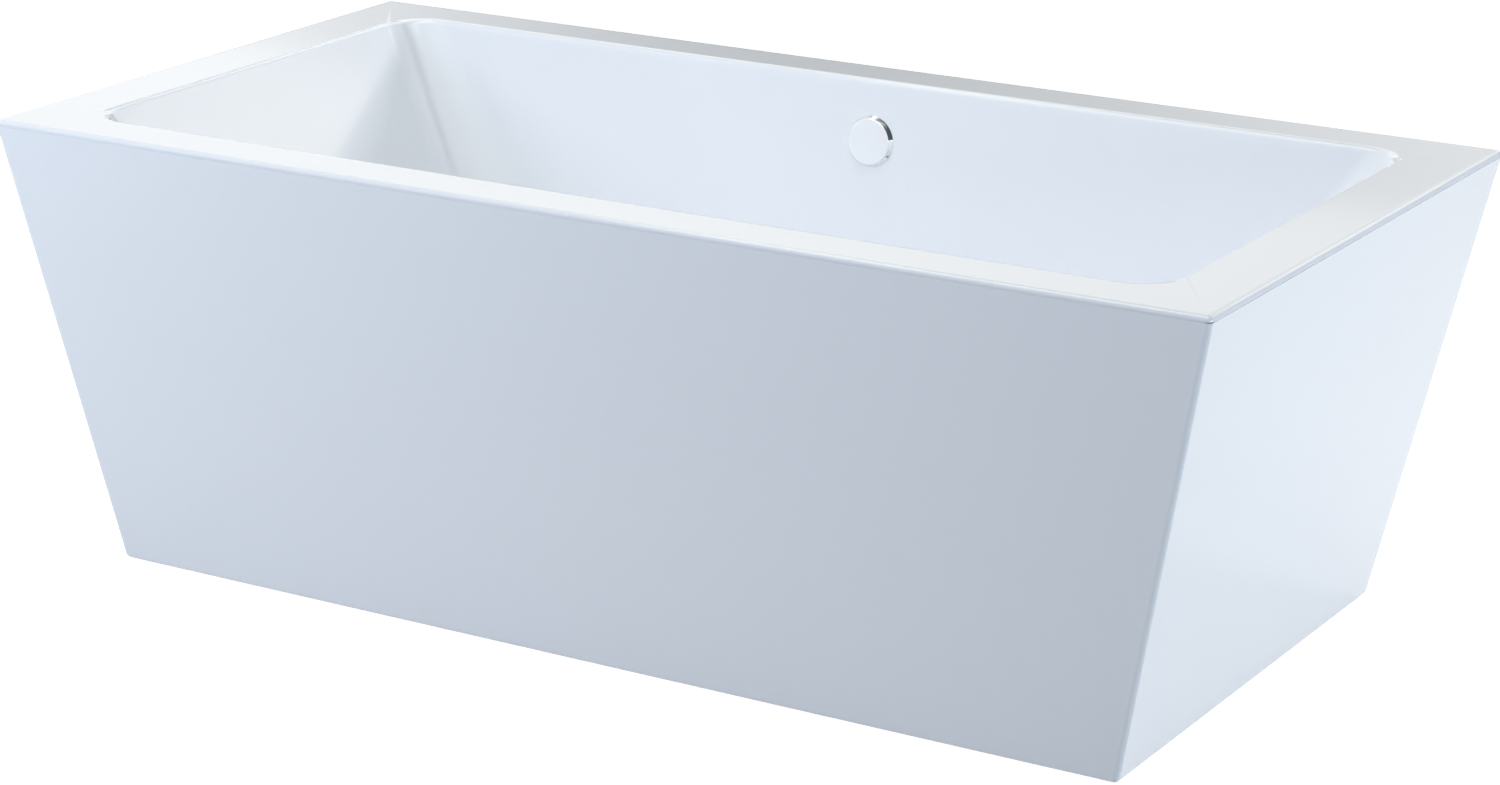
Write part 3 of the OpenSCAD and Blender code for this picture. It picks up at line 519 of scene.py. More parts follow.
class NodeBench:
    """Builds a node tree: nodes by type, links by node and socket, a group's own sockets by name."""

    def __init__(self, tree, inputs=(), outputs=()):
        """Inputs and outputs are the group's sockets as (type, name) or (type, name, default)."""
        self.tree = tree
        for direction, sockets in (("INPUT", inputs), ("OUTPUT", outputs)):
            for kind, name, *default in sockets:
                made = tree.interface.new_socket(name=name, in_out=direction, socket_type=f"NodeSocket{kind}")
                if default:
                    made.default_value = default[0]
        if outputs:
            self.take = tree.nodes.new("NodeGroupInput").outputs
            self.give = tree.nodes.new("NodeGroupOutput").inputs

    def add(self, kind, links=None, **values):
        """Adds a node; links maps its input sockets to outputs or plain values."""
        node = self.tree.nodes.new(kind)
        for key, value in values.items():
            setattr(node, key, value)
        return self.fill(node, links or {})

    def fill(self, node, links):
        """Links or sets the inputs of a node."""
        for key, source in links.items():
            self.put(source, node.inputs[key])
        return node

    def put(self, source, target):
        """Links an output, or a node's first output, to an input, or sets the input to a plain value."""
        if isinstance(source, bpy.types.Node):
            source = source.outputs[0]
        if isinstance(source, bpy.types.NodeSocket):
            self.tree.links.new(source, target)
        else:
            target.default_value = source

    def maths(self, operation, *sources):
        """A Math node."""
        return self.add("ShaderNodeMath", dict(enumerate(sources)), operation=operation)

    def product(self, first, *others):
        """Several values multiplied in turn."""
        for other in others:
            first = self.maths("MULTIPLY", first, other)
        return first

    def position(self):
        """Where a point is."""
        return self.add("GeometryNodeInputPosition")


def apply_tree(piece, tree, **values):
    """Runs a geometry node tree on a piece with its named inputs set, and keeps the plain mesh."""
    modifier = piece.modifiers.new(tree.name, "NODES")
    modifier.node_group = tree
    for item in tree.interface.items_tree:
        key = item.name.lower().replace(" ", "_")
        if item.in_out == "INPUT" and key in values:
            modifier[item.identifier] = values.pop(key)
    if values:
        raise ValueError(f"{tree.name} has no input named {sorted(values)}")
    bake(piece)


def finish_tree(bench, geometry):
    """Ends a tree in Realize Instances and Set Material."""
    realized = bench.add("GeometryNodeRealizeInstances", {"Geometry": geometry})
    painted = bench.add("GeometryNodeSetMaterial", {"Geometry": realized, "Material": bench.take["Material"]})
    bench.put(painted, bench.give[0])


def skirt_tree():
    """Sweeps a wall section round a rounded rectangle, then leans the sides and ends in."""
    sizes = ("Length", "Width", "Corner Radius", "Top", "Height", "End Lean", "Side Lean")
    bench = NodeBench(
        bpy.data.node_groups.new("leaning_skirt", "GeometryNodeTree"),
        [("Geometry", "Section"), *(("Float", name) for name in sizes), ("Int", "Corner Steps"),
         ("Material", "Material")], [("Geometry", "Geometry")])
    take, maths = bench.take, bench.maths
    outline = bench.add("GeometryNodeCurvePrimitiveQuadrilateral",
                        {"Width": take["Length"], "Height": take["Width"]})
    rounded = bench.add("GeometryNodeFilletCurve", {"Curve": outline, "Count": take["Corner Steps"],
                                                    "Radius": take["Corner Radius"]}, mode="POLY")
    section = bench.add("GeometryNodeMeshToCurve", {"Mesh": take["Section"]})
    upright = bench.add("GeometryNodeSetCurveNormal", {"Curve": rounded}, mode="Z_UP")
    swept = bench.add("GeometryNodeCurveToMesh", {"Curve": upright, "Profile Curve": section})
    x, y, z = bench.add("ShaderNodeSeparateXYZ", {"Vector": bench.position()}).outputs
    share = maths("DIVIDE", maths("SUBTRACT", take["Top"], z), take["Height"])
    shifts = [bench.product(maths("SIGN", axis), -1.0, take[lean], share)
              for axis, lean in ((x, "End Lean"), (y, "Side Lean"))]
    shift = bench.add("ShaderNodeCombineXYZ", {"X": shifts[0], "Y": shifts[1]})
    leaned = bench.add("GeometryNodeSetPosition", {"Geometry": swept, "Offset": shift})
    finish_tree(bench, leaned)
    return bench.tree


FAR = 10.0  # A radius in metres that nothing reaches, which leaves a feature out
LEAST_DIVISOR = 0.0001  # Keeps points on the axis from a division by nothing


def fastener_tree():
    """Cuts a thread, a hexagon and flutes into a turned body, then repeats it over a grid of places."""
    found = bpy.data.node_groups.get("fastener")
    if found:
        return found
    sizes = {"Hex Radius": FAR, "Hex From": FAR, "Thread From": FAR, "Thread Low": 0.0, "Thread High": 0.0,
             "Pitch": 1.0, "Thread Depth": 0.0, "Flute From": FAR, "Flute High": 0.0, "Flute Depth": 0.0,
             "Grid Length": 0.0, "Grid Width": 0.0}
    bench = NodeBench(
        bpy.data.node_groups.new("fastener", "GeometryNodeTree"),
        [("Geometry", "Geometry"), *(("Float", name, default) for name, default in sizes.items()),
         *(("Int", name, 1) for name in ("Flutes", "Grid Columns", "Grid Rows")),
         ("Vector", "Middle"), ("Material", "Material")], [("Geometry", "Geometry")])
    take, maths, product = bench.take, bench.maths, bench.product
    x, y, height = bench.add("ShaderNodeSeparateXYZ", {"Vector": bench.position()}).outputs
    radius = maths("SQRT", maths("ADD", product(x, x), product(y, y)))
    turn = maths("ARCTAN2", y, x)
    sixth = math.radians(60)
    off_flat = maths("SUBTRACT", maths("FLOORED_MODULO", turn, sixth), sixth / 2)
    flat = maths("DIVIDE", product(take["Hex Radius"], math.cos(sixth / 2)), maths("COSINE", off_flat))
    past_flat = maths("MAXIMUM", maths("SUBTRACT", radius, flat), 0.0)
    hexed = product(past_flat, maths("GREATER_THAN", radius, take["Hex From"]))
    phase = maths("SUBTRACT", maths("DIVIDE", height, take["Pitch"]), maths("DIVIDE", turn, 2 * math.pi))
    wave = product(maths("PINGPONG", phase, 0.5), 2.0)
    threaded = product(wave, take["Thread Depth"], maths("GREATER_THAN", radius, take["Thread From"]),
                       maths("GREATER_THAN", height, take["Thread Low"]),
                       maths("GREATER_THAN", take["Thread High"], height))
    ripple = maths("ADD", product(maths("COSINE", product(turn, take["Flutes"])), 0.5), 0.5)
    fluted = product(ripple, take["Flute Depth"], maths("GREATER_THAN", radius, take["Flute From"]),
                     maths("LESS_THAN", height, take["Flute High"]))
    inwards = maths("ADD", maths("ADD", hexed, threaded), fluted)
    ratio = maths("DIVIDE", inwards, maths("MAXIMUM", radius, LEAST_DIVISOR))
    scaled = bench.add("ShaderNodeVectorMath", {0: bench.position(), "Scale": product(ratio, -1.0)},
                       operation="SCALE")
    level = bench.add("ShaderNodeVectorMath", {0: scaled, 1: (1.0, 1.0, 0.0)}, operation="MULTIPLY")
    shaped = bench.add("GeometryNodeSetPosition", {"Geometry": take["Geometry"], "Offset": level})
    places = bench.add("GeometryNodeMeshGrid", {
        "Size X": take["Grid Length"], "Size Y": take["Grid Width"],
        "Vertices X": take["Grid Columns"], "Vertices Y": take["Grid Rows"]})
    moved = bench.add("GeometryNodeSetPosition", {"Geometry": places, "Offset": take["Middle"]})
    repeated = bench.add("GeometryNodeInstanceOnPoints", {"Points": moved, "Instance": shaped})
    finish_tree(bench, repeated)
    return bench.tree


THREAD_ROWS = 8  # Rows of faces over one pitch of a thread
HEX_INSET = 0.12  # Chamfer of a hexagon, in from its corners, as a share of its radius
HEX_CHAMFER = math.radians(30)


def thread_rows(r, low, high, pitch):
    """Rows of a turned profile, close enough together for a thread."""
    rows = round((high - low) / pitch * THREAD_ROWS)
    return [(r, low + (high - low) * i / rows) for i in range(rows + 1)]


def hex_profile(r, low, high, start, end=None):
    """Outside of a hexagon's turned body with chamfers; start and end are the radii it runs from and to."""
    inset = HEX_INSET * r
    drop = inset * math.tan(HEX_CHAMFER)
    under = [(r - inset * (1 - k / EASE_STEPS), low + drop * k / EASE_STEPS) for k in range(EASE_STEPS + 1)]
    over = [(a, low + high - b) for a, b in reversed(under)]
    return [(start, low)] + under + over + [(start if end is None else end, high)]


def skirt_section(shell):
    """The skirt's section as (inset, height): face, rolled hem, inner face and bonding flange."""
    top = shell.tub_h - shell.rim_lip - shell.bead_t
    gap = CAD_LOW.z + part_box("skirt")[0].z
    t = shell.skirt_t
    hem = [(shell.hem_r * (1 - math.cos(a)), gap + shell.hem_r * (1 - math.sin(a)))
           for a in (RIGHT * i / shell.roll_steps for i in range(shell.roll_steps + 1))]
    inner = [(shell.hem_w, gap), (shell.hem_w, gap + t), (t, gap + t),
             (t, top - t), (shell.bond_w, top - t), (shell.bond_w, top)]
    e = shell.seam_ease
    return [(e, top), (e * MIDDLE_INSET, top - e * MIDDLE_INSET), (0, top - e)] + hem + inner


class BATHTUB_OT_skirt(bpy.types.Operator):
    """Build the leaning skirt by sweeping its section round the tub"""

    bl_idname = "bathtub.skirt"
    bl_label = "Skirt"

    def execute(self, context):
        shell, _ = settings()
        section = skirt_section(shell)
        piece = new_piece("skirt_shell", [], [])
        edges = [(i, (i + 1) % len(section)) for i in range(len(section))]
        piece.data.from_pydata([(-inset, -height, 0) for inset, height in section], edges, [])
        top = section[0][1]
        foot = min(height for _, height in section)
        apply_tree(piece, skirt_tree(), length=shell.tub_l, width=shell.tub_w, corner_radius=shell.corner_r,
                   corner_steps=shell.corner_steps, top=top, height=top - foot,
                   end_lean=shell.end_lean, side_lean=shell.side_lean, material=slot_finish("acrylic"))
        face_outwards(piece)
        smooth(piece)
        settle(piece, "tub", "acrylic", "skirt")
        return {"FINISHED"}


# ---------------- chrome fittings

# Profiles of turned pieces are steps in millimetres, out and up from the corner that each is set at
FLANGE_THROAT = ((5, 0), (3.4, -0.5))
THROAT_FOOT = ((0, -2),)
DOME_FOOT = ((-1, 0), (0, 1), (-0.2, 2))
DOME_EDGE = ((-1.2, -0.8), (-2.6, -0.35))
DOME_RINGS = (0.85, 0.7, 0.5, 0.25, 0)  # Rings of the stopper's top, as shares of its radius
DOME_RISE = 0.3 * MM
DOME_SHARP = 50
CAP_RINGS = (0.95, 0.8, 0.6, 0.4, 0.2, 0)  # Rings of the cap's face, as shares of its radius
CAP_GAP = 0.3 * MM  # Gap between the overflow cap and the wall
CAP_ARC_STEPS = 8
SLOT_TURNS = (90, 210, 330)
SLOT_REACH = 6 * MM  # How far the water slots cut into the cap's edge
FLANGE_EDGE_R = 1.5 * MM
FLANGE_ARC_STEPS = 6
BARREL_EDGE = 1 * MM  # Chamfer at the barrel's foot, and how far the spider sits above that foot
BARREL_THREAD_END = 4 * MM  # Where the barrel's thread ends, below the seat
BARREL_NECK = 3 * MM
BARREL_THREAD_SHARE = 0.5  # Depth of the barrel's thread, as a share of its pitch
BARREL_CLEAR = 0.5 * MM  # How far inside the barrel's outside its thread begins to count
ARM_TURNS = (45, 135, 225, 315)
ARM_SINK = 1 * MM  # How far an arm runs into the boss and into the barrel
ARM_EDGE = 0.6 * MM
ARM_RIDGE = 2 * MM
ARM_FOOT_SHARE, ARM_TOP_SHARE = 0.6, 0.3
BOSS_STEPS = 48


class BATHTUB_OT_overflow_cap(bpy.types.Operator):
    """Build the round overflow cap with three water slots in its edge"""

    bl_idname = "bathtub.overflow_cap"
    bl_label = "Overflow Cap"

    def execute(self, context):
        shell, fit = settings()
        edge_h = fit.cap_h - fit.cap_crown
        taper = math.atan2(fit.cap_r - fit.cap_face_r, fit.cap_h - CAP_GAP)
        edge_r = fit.cap_face_r - tangent(fit.cap_edge_r, RIGHT - taper)
        back = fit.cap_h - fit.cap_plate
        profile = [(0, back), (fit.cap_hollow_r, back), (fit.cap_hollow_r, CAP_GAP), (fit.cap_r, CAP_GAP)]
        round_r = fit.cap_edge_r
        profile += arc((edge_r, edge_h - round_r), round_r, math.degrees(taper), 90, CAP_ARC_STEPS)
        profile += [(edge_r * k, edge_h + fit.cap_crown * (1 - k * k)) for k in CAP_RINGS]
        place = wall_place(shell, fit)
        piece = turned("overflow_cap_shell", profile, fit.turn_steps, place)
        cut(piece, *(cutting_block(f"slot_cutter_{turn}", fit.cap_r, SLOT_REACH, fit.slot_w / 2, -fit.slot_h,
                                   fit.slot_h, place=place @ Matrix.Rotation(math.radians(turn), 4, "Z"))
                     for turn in SLOT_TURNS))
        smooth(piece)
        settle(piece, "tub", "chrome_plate", "overflow_cap")
        return {"FINISHED"}


def join(piece, other):
    """Adds another piece's faces to a piece and removes the other one."""
    work = bmesh.new()
    work.from_mesh(piece.data)
    work.from_mesh(other.data)
    work.to_mesh(piece.data)
    work.free()
    bpy.data.objects.remove(other)


def spider_arm(fit, foot, turn):
    """One arm between the drain's boss and its barrel, with a ridge along its top."""
    spin = Matrix.Rotation(math.radians(turn), 4, "Z")
    half, height = fit.spider_t / 2, fit.spider_h
    right = [(half * ARM_FOOT_SHARE, 0), (half, ARM_EDGE), (half, height - ARM_RIDGE),
             (half * ARM_TOP_SHARE, height)]
    section = right + [(-y, z) for y, z in reversed(right)]
    ends = fit.spider_r - ARM_SINK, fit.barrel_r - fit.barrel_wall + ARM_SINK
    arm = capped("spider_arm", [[spin @ Vector((x, y, foot + z)) for y, z in section] for x in ends])
    face_outwards(arm)
    return arm


class BATHTUB_OT_drain(bpy.types.Operator):
    """Build the drain flange with its thread and spider, and the domed stopper cap"""

    bl_idname = "bathtub.drain"
    bl_label = "Drain"

    def execute(self, context):
        shell, fit = settings()
        low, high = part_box("drain_flange")
        r, outer, inner = fit.drain_flange_r, fit.barrel_r, fit.barrel_r - fit.barrel_wall
        seat = shell.tub_h - shell.basin_depth - shell.floor_fall - fit.drain_recess
        foot, thread_end = low.z + BARREL_EDGE, seat - BARREL_THREAD_END
        flange = [(inner, low.z), (outer - BARREL_EDGE, low.z)]
        flange += thread_rows(outer, foot, thread_end, fit.barrel_pitch)
        flange += [(outer, seat - BARREL_NECK), (outer, seat), (r, seat), (r, seat + BARREL_EDGE)]
        flange += arc((r - FLANGE_EDGE_R, high.z - FLANGE_EDGE_R), FLANGE_EDGE_R, 0, 90, FLANGE_ARC_STEPS)
        flange += near(inner, high.z, FLANGE_THROAT) + near(inner, seat, THROAT_FOOT)
        ring = turned("drain_ring", flange, fit.turn_steps)
        bore, top = fit.spider_bore_r, foot + fit.spider_h
        boss = [(bore, foot), (fit.spider_r, foot), (fit.spider_r, top), (bore, top)]
        join(ring, turned("spider_boss", boss, BOSS_STEPS))
        for turn in ARM_TURNS:
            join(ring, spider_arm(fit, foot, turn))
        shape_fastener(ring, "tub", "chrome_plate", "drain_flange", **thread(
            outer, foot, thread_end, fit.barrel_pitch, fit.barrel_pitch * BARREL_THREAD_SHARE, BARREL_CLEAR))
        low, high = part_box("stopper_cap")
        r = high.x
        dome = [(0, low.z)] + near(r, low.z, DOME_FOOT) + near(r, high.z, DOME_EDGE)
        dome += [(r * k, high.z - DOME_RISE * k * k) for k in DOME_RINGS]
        cap = turned("stopper_dome", dome, fit.turn_steps)
        smooth(cap, DOME_SHARP)
        settle(cap, "stopper", "chrome_plate", "stopper_cap")
        return {"FINISHED"}


# ---------------- fixings and feet

# Profiles are steps as above; a screw's point is in shares of its radius and millimetres below its tip
SCREW_HEAD_FOOT = ((-0.9, 0),)
SCREW_HEAD_RIM = ((0, -0.4), (0, 0))
SCREW_SHANK = ((0, 0.6),)
SCREW_POINT = ((0.75, 3), (0.35, 1), (0, 0))
SCREW_NECK = 2 * MM  # Plain length above a screw's head
SCREW_TIP = 5 * MM  # Plain length below its tip
SCREW_THREAD_SHARE = 0.3  # Depth of its thread, as a share of its radius
CROSS_ARM = (1.8 * MM, 0.35 * MM)  # Half length and half width of a cross recess's arm at its mouth
CROSS_TAPER = 0.5
CROSS_DEPTH = 1.6 * MM
CROSS_START = 1 * MM  # How far below the head the cut begins
BOLT_POINT = ((-0.8, 0),)
BOLT_TIP = 0.6 * MM
BOLT_THREAD_STOP = 0.7 * MM
NUT_CHAMFER = 0.4 * MM
HEX_CLEAR = 1 * MM  # How far outside a bore or shank a hexagon's flats begin to count
THREAD_CLEAR = 0.1 * MM  # How far inside a thread's outside it begins to count
STEEL_THREAD_SHARE = 0.55  # Depth of a steel thread, as a share of its pitch
STEM_FOOT = ((-0.8, 0), (0, 0.8))
STEM_TOP = 1 * MM
STEM_PLAIN = 3 * MM  # Plain length between a stem's collar and its thread
PAD_SOLE = ((-1, 0), (0, 1))
PAD_SHOULDER = ((0, -1), (-0.4, -0.2), (-1.4, 0.3))
PAD_NECK = ((3, -5), (0.6, -1.4), (-0.4, 0))
PAD_SOCKET = ((0.5, 0), (0, -0.5))
FLUTE_DEPTH = 0.7 * MM
FLUTE_CLEAR = 0.2 * MM
SCREW_STEPS, STEEL_STEPS, STEPS_PER_FLUTE = 24, 48, 6
STEEL_SHARP, PAD_SHARP = 20, 30


def thread(r, low, high, pitch, depth, clear=THREAD_CLEAR):
    """The fastener tree's inputs for a thread on a radius."""
    return {"thread_from": r - clear, "thread_low": low, "thread_high": high, "pitch": pitch,
            "thread_depth": depth}


def hexagon(r, inside):
    """The fastener tree's inputs for a hexagon round a bore or shank."""
    return {"hex_radius": r, "hex_from": inside + HEX_CLEAR}


def grid(x, y, columns=2):
    """The fastener tree's inputs for two rows of places that reach so far out along and across the tub."""
    return {"grid_length": 2 * x, "grid_width": 2 * y, "grid_columns": columns, "grid_rows": 2}


def shape_fastener(piece, body, slot, node, sharp=SOFT_SHARP, **inputs):
    """Runs the fastener tree on a turned body and finishes the piece that comes of it."""
    apply_tree(piece, fastener_tree(), material=slot_finish(slot), **inputs)
    smooth(piece, sharp)
    settle(piece, body, slot, node)


def screw_body(fix, low, high, start, end):
    """A countersunk board screw with a cross recess, head down."""
    neck = low.z + fix.screw_head_h
    head_r, r = fix.screw_head_r, fix.screw_r
    profile = [(0, low.z)] + near(head_r, low.z, SCREW_HEAD_FOOT) + near(head_r, neck, SCREW_HEAD_RIM)
    profile += near(r, neck, SCREW_SHANK) + thread_rows(r, start, end, fix.screw_pitch)
    profile += [(r * share, high.z - down * MM) for share, down in SCREW_POINT]
    body = turned("board_screw_set", profile, SCREW_STEPS)
    cut(body, *(cutting_block("recess_arm", 0, a, b, low.z - CROSS_START, low.z + CROSS_DEPTH, CROSS_TAPER)
                for a, b in (CROSS_ARM, CROSS_ARM[::-1])))
    return body


class BATHTUB_OT_fixings(bpy.types.Operator):
    """Build the bolts, nuts and screws that hold the frame, each shaped once and repeated over its places"""

    bl_idname = "bathtub.fixings"
    bl_label = "Fixings"

    def execute(self, context):
        fix = context.scene.bathtub_fixings
        feet, crossings = grid(fix.foot_x, fix.foot_y), grid(fix.foot_x, fix.bolt_y)
        for node, r, bore, places in (("foot_weld_nuts", fix.foot_nut_r, fix.stem_r, feet),
                                      ("foot_jam_nuts", fix.foot_nut_r, fix.stem_r, feet),
                                      ("frame_nuts", fix.bolt_head_r, fix.bolt_r, crossings)):
            low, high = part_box(node)
            bore += fix.turn_fit
            nut = turned(f"{node}_set", hex_profile(r, low.z, high.z, bore + NUT_CHAMFER)
                         + [(bore, high.z - NUT_CHAMFER), (bore, low.z + NUT_CHAMFER)], STEEL_STEPS)
            shape_fastener(nut, "tub", "zinc_steel", node, STEEL_SHARP, **hexagon(r, bore), **places)
        r = fix.bolt_r
        low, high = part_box("frame_bolts")
        start = high.z - fix.bolt_thread
        profile = [(0, low.z)] + hex_profile(fix.bolt_head_r, low.z, low.z + fix.bolt_head_h, r)[1:]
        profile += thread_rows(r, start, high.z - BOLT_TIP, fix.bolt_pitch)
        profile += near(r, high.z, BOLT_POINT) + [(0, high.z)]
        shape_fastener(turned("frame_bolt_set", profile, STEEL_STEPS), "tub", "zinc_steel", "frame_bolts",
                       STEEL_SHARP, **hexagon(fix.bolt_head_r, r), **crossings,
                       **thread(r, start, high.z - BOLT_THREAD_STOP, fix.bolt_pitch,
                                fix.bolt_pitch * STEEL_THREAD_SHARE))
        low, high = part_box("board_screws")
        start, end = low.z + fix.screw_head_h + SCREW_NECK, high.z - SCREW_TIP
        shape_fastener(screw_body(fix, low, high, start, end), "tub", "zinc_steel", "board_screws",
                       STEEL_SHARP, **grid(fix.screw_x, fix.bolt_y, 4),
                       **thread(fix.screw_r, start, end, fix.screw_pitch, fix.screw_r * SCREW_THREAD_SHARE))
        return {"FINISHED"}


class BATHTUB_OT_feet(bpy.types.Operator):
    """Build the four threaded stems with their hexagon collars and the four fluted rubber pads"""

    bl_idname = "bathtub.feet"
    bl_label = "Feet"

    def execute(self, context):
        fix = context.scene.bathtub_fixings
        for side, sx in zip(("left", "right"), SIDES):
            for row, sy in zip(("front", "back"), SIDES):
                corner = f"{row}_{side}"
                middle = (sx * fix.foot_x, sy * fix.foot_y, 0.0)
                self.stem(fix, corner, middle)
                self.pad(fix, corner, middle)
        return {"FINISHED"}

    def stem(self, fix, corner, middle):
        """One stem, with its foot in the pad's socket."""
        low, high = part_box(f"foot_stem_{corner}")
        r, collar = fix.stem_r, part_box(f"foot_pad_{corner}")[1].z + fix.slip_fit
        start, end = collar + fix.collar_h + STEM_PLAIN, high.z - STEM_TOP
        profile = [(0, low.z)] + near(r, low.z, STEM_FOOT)
        profile += hex_profile(fix.collar_r, collar, collar + fix.collar_h, r)
        profile += thread_rows(r, start, end, fix.stem_pitch) + [(r - STEM_TOP, high.z), (0, high.z)]
        shape_fastener(turned(f"threaded_stem_{corner}", profile, STEEL_STEPS), f"stem_{corner}",
                       "zinc_steel", f"foot_stem_{corner}", STEEL_SHARP, middle=middle,
                       **hexagon(fix.collar_r, r),
                       **thread(r, start, end, fix.stem_pitch, fix.stem_pitch * STEEL_THREAD_SHARE))

    def pad(self, fix, corner, middle):
        """One pad, with its fluted rim and the socket that the stem turns in."""
        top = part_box(f"foot_pad_{corner}")[1].z
        r, rim, bore = fix.pad_r, fix.pad_rim_h, fix.stem_r + fix.turn_fit
        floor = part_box(f"foot_stem_{corner}")[0].z - fix.slip_fit
        profile = [(0, 0)] + near(r, 0, PAD_SOLE) + [(r, rim * 0.5)] + near(r, rim, PAD_SHOULDER)
        profile += near(fix.pad_neck_r, top, PAD_NECK) + near(bore, top, PAD_SOCKET)
        profile += [(bore, floor), (0, floor)]
        shape_fastener(turned(f"rubber_pad_{corner}", profile, STEPS_PER_FLUTE * fix.pad_flutes),
                       f"pad_{corner}", "foot_rubber", f"foot_pad_{corner}", PAD_SHARP, middle=middle,
                       flute_from=r - FLUTE_CLEAR, flute_high=rim, flute_depth=FLUTE_DEPTH,
                       flutes=fix.pad_flutes)


# ---------------- finishes

def variation_group():
    """Slow and fine variation of a surface: a tinted colour, a roughness and a height."""
    found = bpy.data.node_groups.get("surface_variation")
    if found:
        return found
    levels = ("Amount", "Broad Scale", "Fine Scale", "Roughness", "Roughness Spread")
    bench = NodeBench(
        bpy.data.node_groups.new("surface_variation", "ShaderNodeTree"),
        [("Color", "Colour"), ("Color", "Second Colour"), *(("Float", name) for name in levels)],
        [("Color", "Colour"), ("Float", "Roughness"), ("Float", "Height")])
    take, maths = bench.take, bench.maths
    place = bench.add("ShaderNodeTexCoord").outputs["Object"]
    broad, fine = (bench.add("ShaderNodeTexNoise", {"Vector": place, "Scale": take[scale], "Detail": detail})
                   for scale, detail in (("Broad Scale", 3.0), ("Fine Scale", 2.0)))
    mix = bench.add("ShaderNodeMix", {0: bench.product(broad, take["Amount"]), 6: take["Colour"],
                                      7: take["Second Colour"]}, data_type="RGBA")
    spread = bench.product(maths("SUBTRACT", fine, 0.5), take["Roughness Spread"])
    for name, source in (("Colour", mix.outputs[2]), ("Roughness", maths("ADD", take["Roughness"], spread)),
                         ("Height", fine)):
        bench.put(source, bench.give[name])
    return bench.tree


def shader_bench(owner):
    """A bench on the nodes of a material or a world."""
    owner.use_nodes = True
    return NodeBench(owner.node_tree)


SECOND_TONE = 0.8  # A finish's second colour where none is given, as a share of its first
PLAIN_IOR = 1.49
COAT_ROUGHNESS = 0.1


def finish(name, tone, second=None, amount=0.2, broad=4.0, fine=300.0, rough=0.3, spread=0.05,
           bump=0.0, bump_depth=0.0002, metal=0.0, coat=0.0):
    """A Principled material whose colour, roughness and bump come from the shared variation group."""
    material = bpy.data.materials.new(name)
    bench = shader_bench(material)
    tone = getattr(bpy.context.scene.bathtub_colours, tone)
    second = second or [c * SECOND_TONE for c in tone]
    varied = bench.add("ShaderNodeGroup", {
        "Colour": (*tone, 1), "Second Colour": (*second, 1), "Amount": amount, "Broad Scale": broad,
        "Fine Scale": fine, "Roughness": rough, "Roughness Spread": spread},
        node_tree=variation_group()).outputs
    shader = bench.fill(bench.tree.nodes["Principled BSDF"], {
        "Base Color": varied["Colour"], "Roughness": varied["Roughness"], "Metallic": metal, "IOR": PLAIN_IOR,
        "Coat Weight": coat, "Coat Roughness": COAT_ROUGHNESS})
    if bump:
        raised = bench.add("ShaderNodeBump",
                           {"Strength": bump, "Distance": bump_depth, "Height": varied["Height"]})
        bench.put(raised.outputs["Normal"], shader.inputs["Normal"])
    return material


FINISHES = {
    "gloss_acrylic": dict(tone="acrylic", amount=0.04, broad=2.5, fine=60, rough=0.18, spread=0.04, bump=0.05,
                          bump_depth=0.0001, coat=1.0),
    "chrome_plate": dict(tone="chrome", amount=0.06, broad=12, fine=500, rough=0.05, spread=0.03, metal=1),
    "zinc_plate": dict(tone="zinc", second=(0.66, 0.62, 0.50), amount=0.5, broad=60, fine=900, rough=0.34,
                       spread=0.2, bump=0.15, bump_depth=0.0001, metal=1),
    "frame_paint": dict(tone="frame_paint", amount=0.4, broad=20, fine=700, rough=0.45, spread=0.15,
                        bump=0.2),
    "chipboard": dict(tone="board", second=(0.26, 0.16, 0.07), amount=1.0, broad=180, fine=420, rough=0.8,
                      spread=0.2, bump=0.6, bump_depth=0.0006),
    "white_plastic": dict(tone="plastic", amount=0.12, broad=10, fine=600, rough=0.42, spread=0.1, bump=0.1,
                          bump_depth=0.0001),
    "black_plastic": dict(tone="black", second=(0.06, 0.06, 0.065), amount=0.6, broad=30, fine=900, rough=0.5,
                          spread=0.15, bump=0.4),
    "seal_rubber": dict(tone="rubber", second=(0.05, 0.05, 0.05), amount=0.5, broad=40, fine=800, rough=0.7,
                        spread=0.15, bump=0.3),
    "sealant": dict(tone="sealant", broad=30, fine=200, rough=0.5, spread=0.1, bump=0.3, bump_depth=0.0003),
}
SLOT_FINISH = {
    "acrylic": "gloss_acrylic", "sealant": "sealant", "board": "chipboard", "frame_steel": "frame_paint",
    "black_plastic": "black_plastic", "zinc_steel": "zinc_plate", "foot_rubber": "seal_rubber",
    "chrome_plate": "chrome_plate", "seal_rubber": "seal_rubber", "pipe_plastic": "white_plastic",
}


def slot_finish(slot):
    """The finish of one of the record's material slots, made when it is first asked for."""
    name = SLOT_FINISH[slot]
    return bpy.data.materials.get(name) or finish(name, **FINISHES[name])


class BATHTUB_OT_finishes(bpy.types.Operator):
    """Give every construction piece the finish of its slot"""

    bl_idname = "bathtub.finishes"
    bl_label = "Finishes"

    def execute(self, context):
        for entry in frame["record"]["subparts"]:
            node = frame["nodes"][entry["node"]]
            made = slot_finish(entry["material_slot"])
            for place in node.material_slots:
                place.material = made
            if not node.material_slots:
                node.data.materials.append(made)
        return {"FINISHED"}


# ---------------- stage

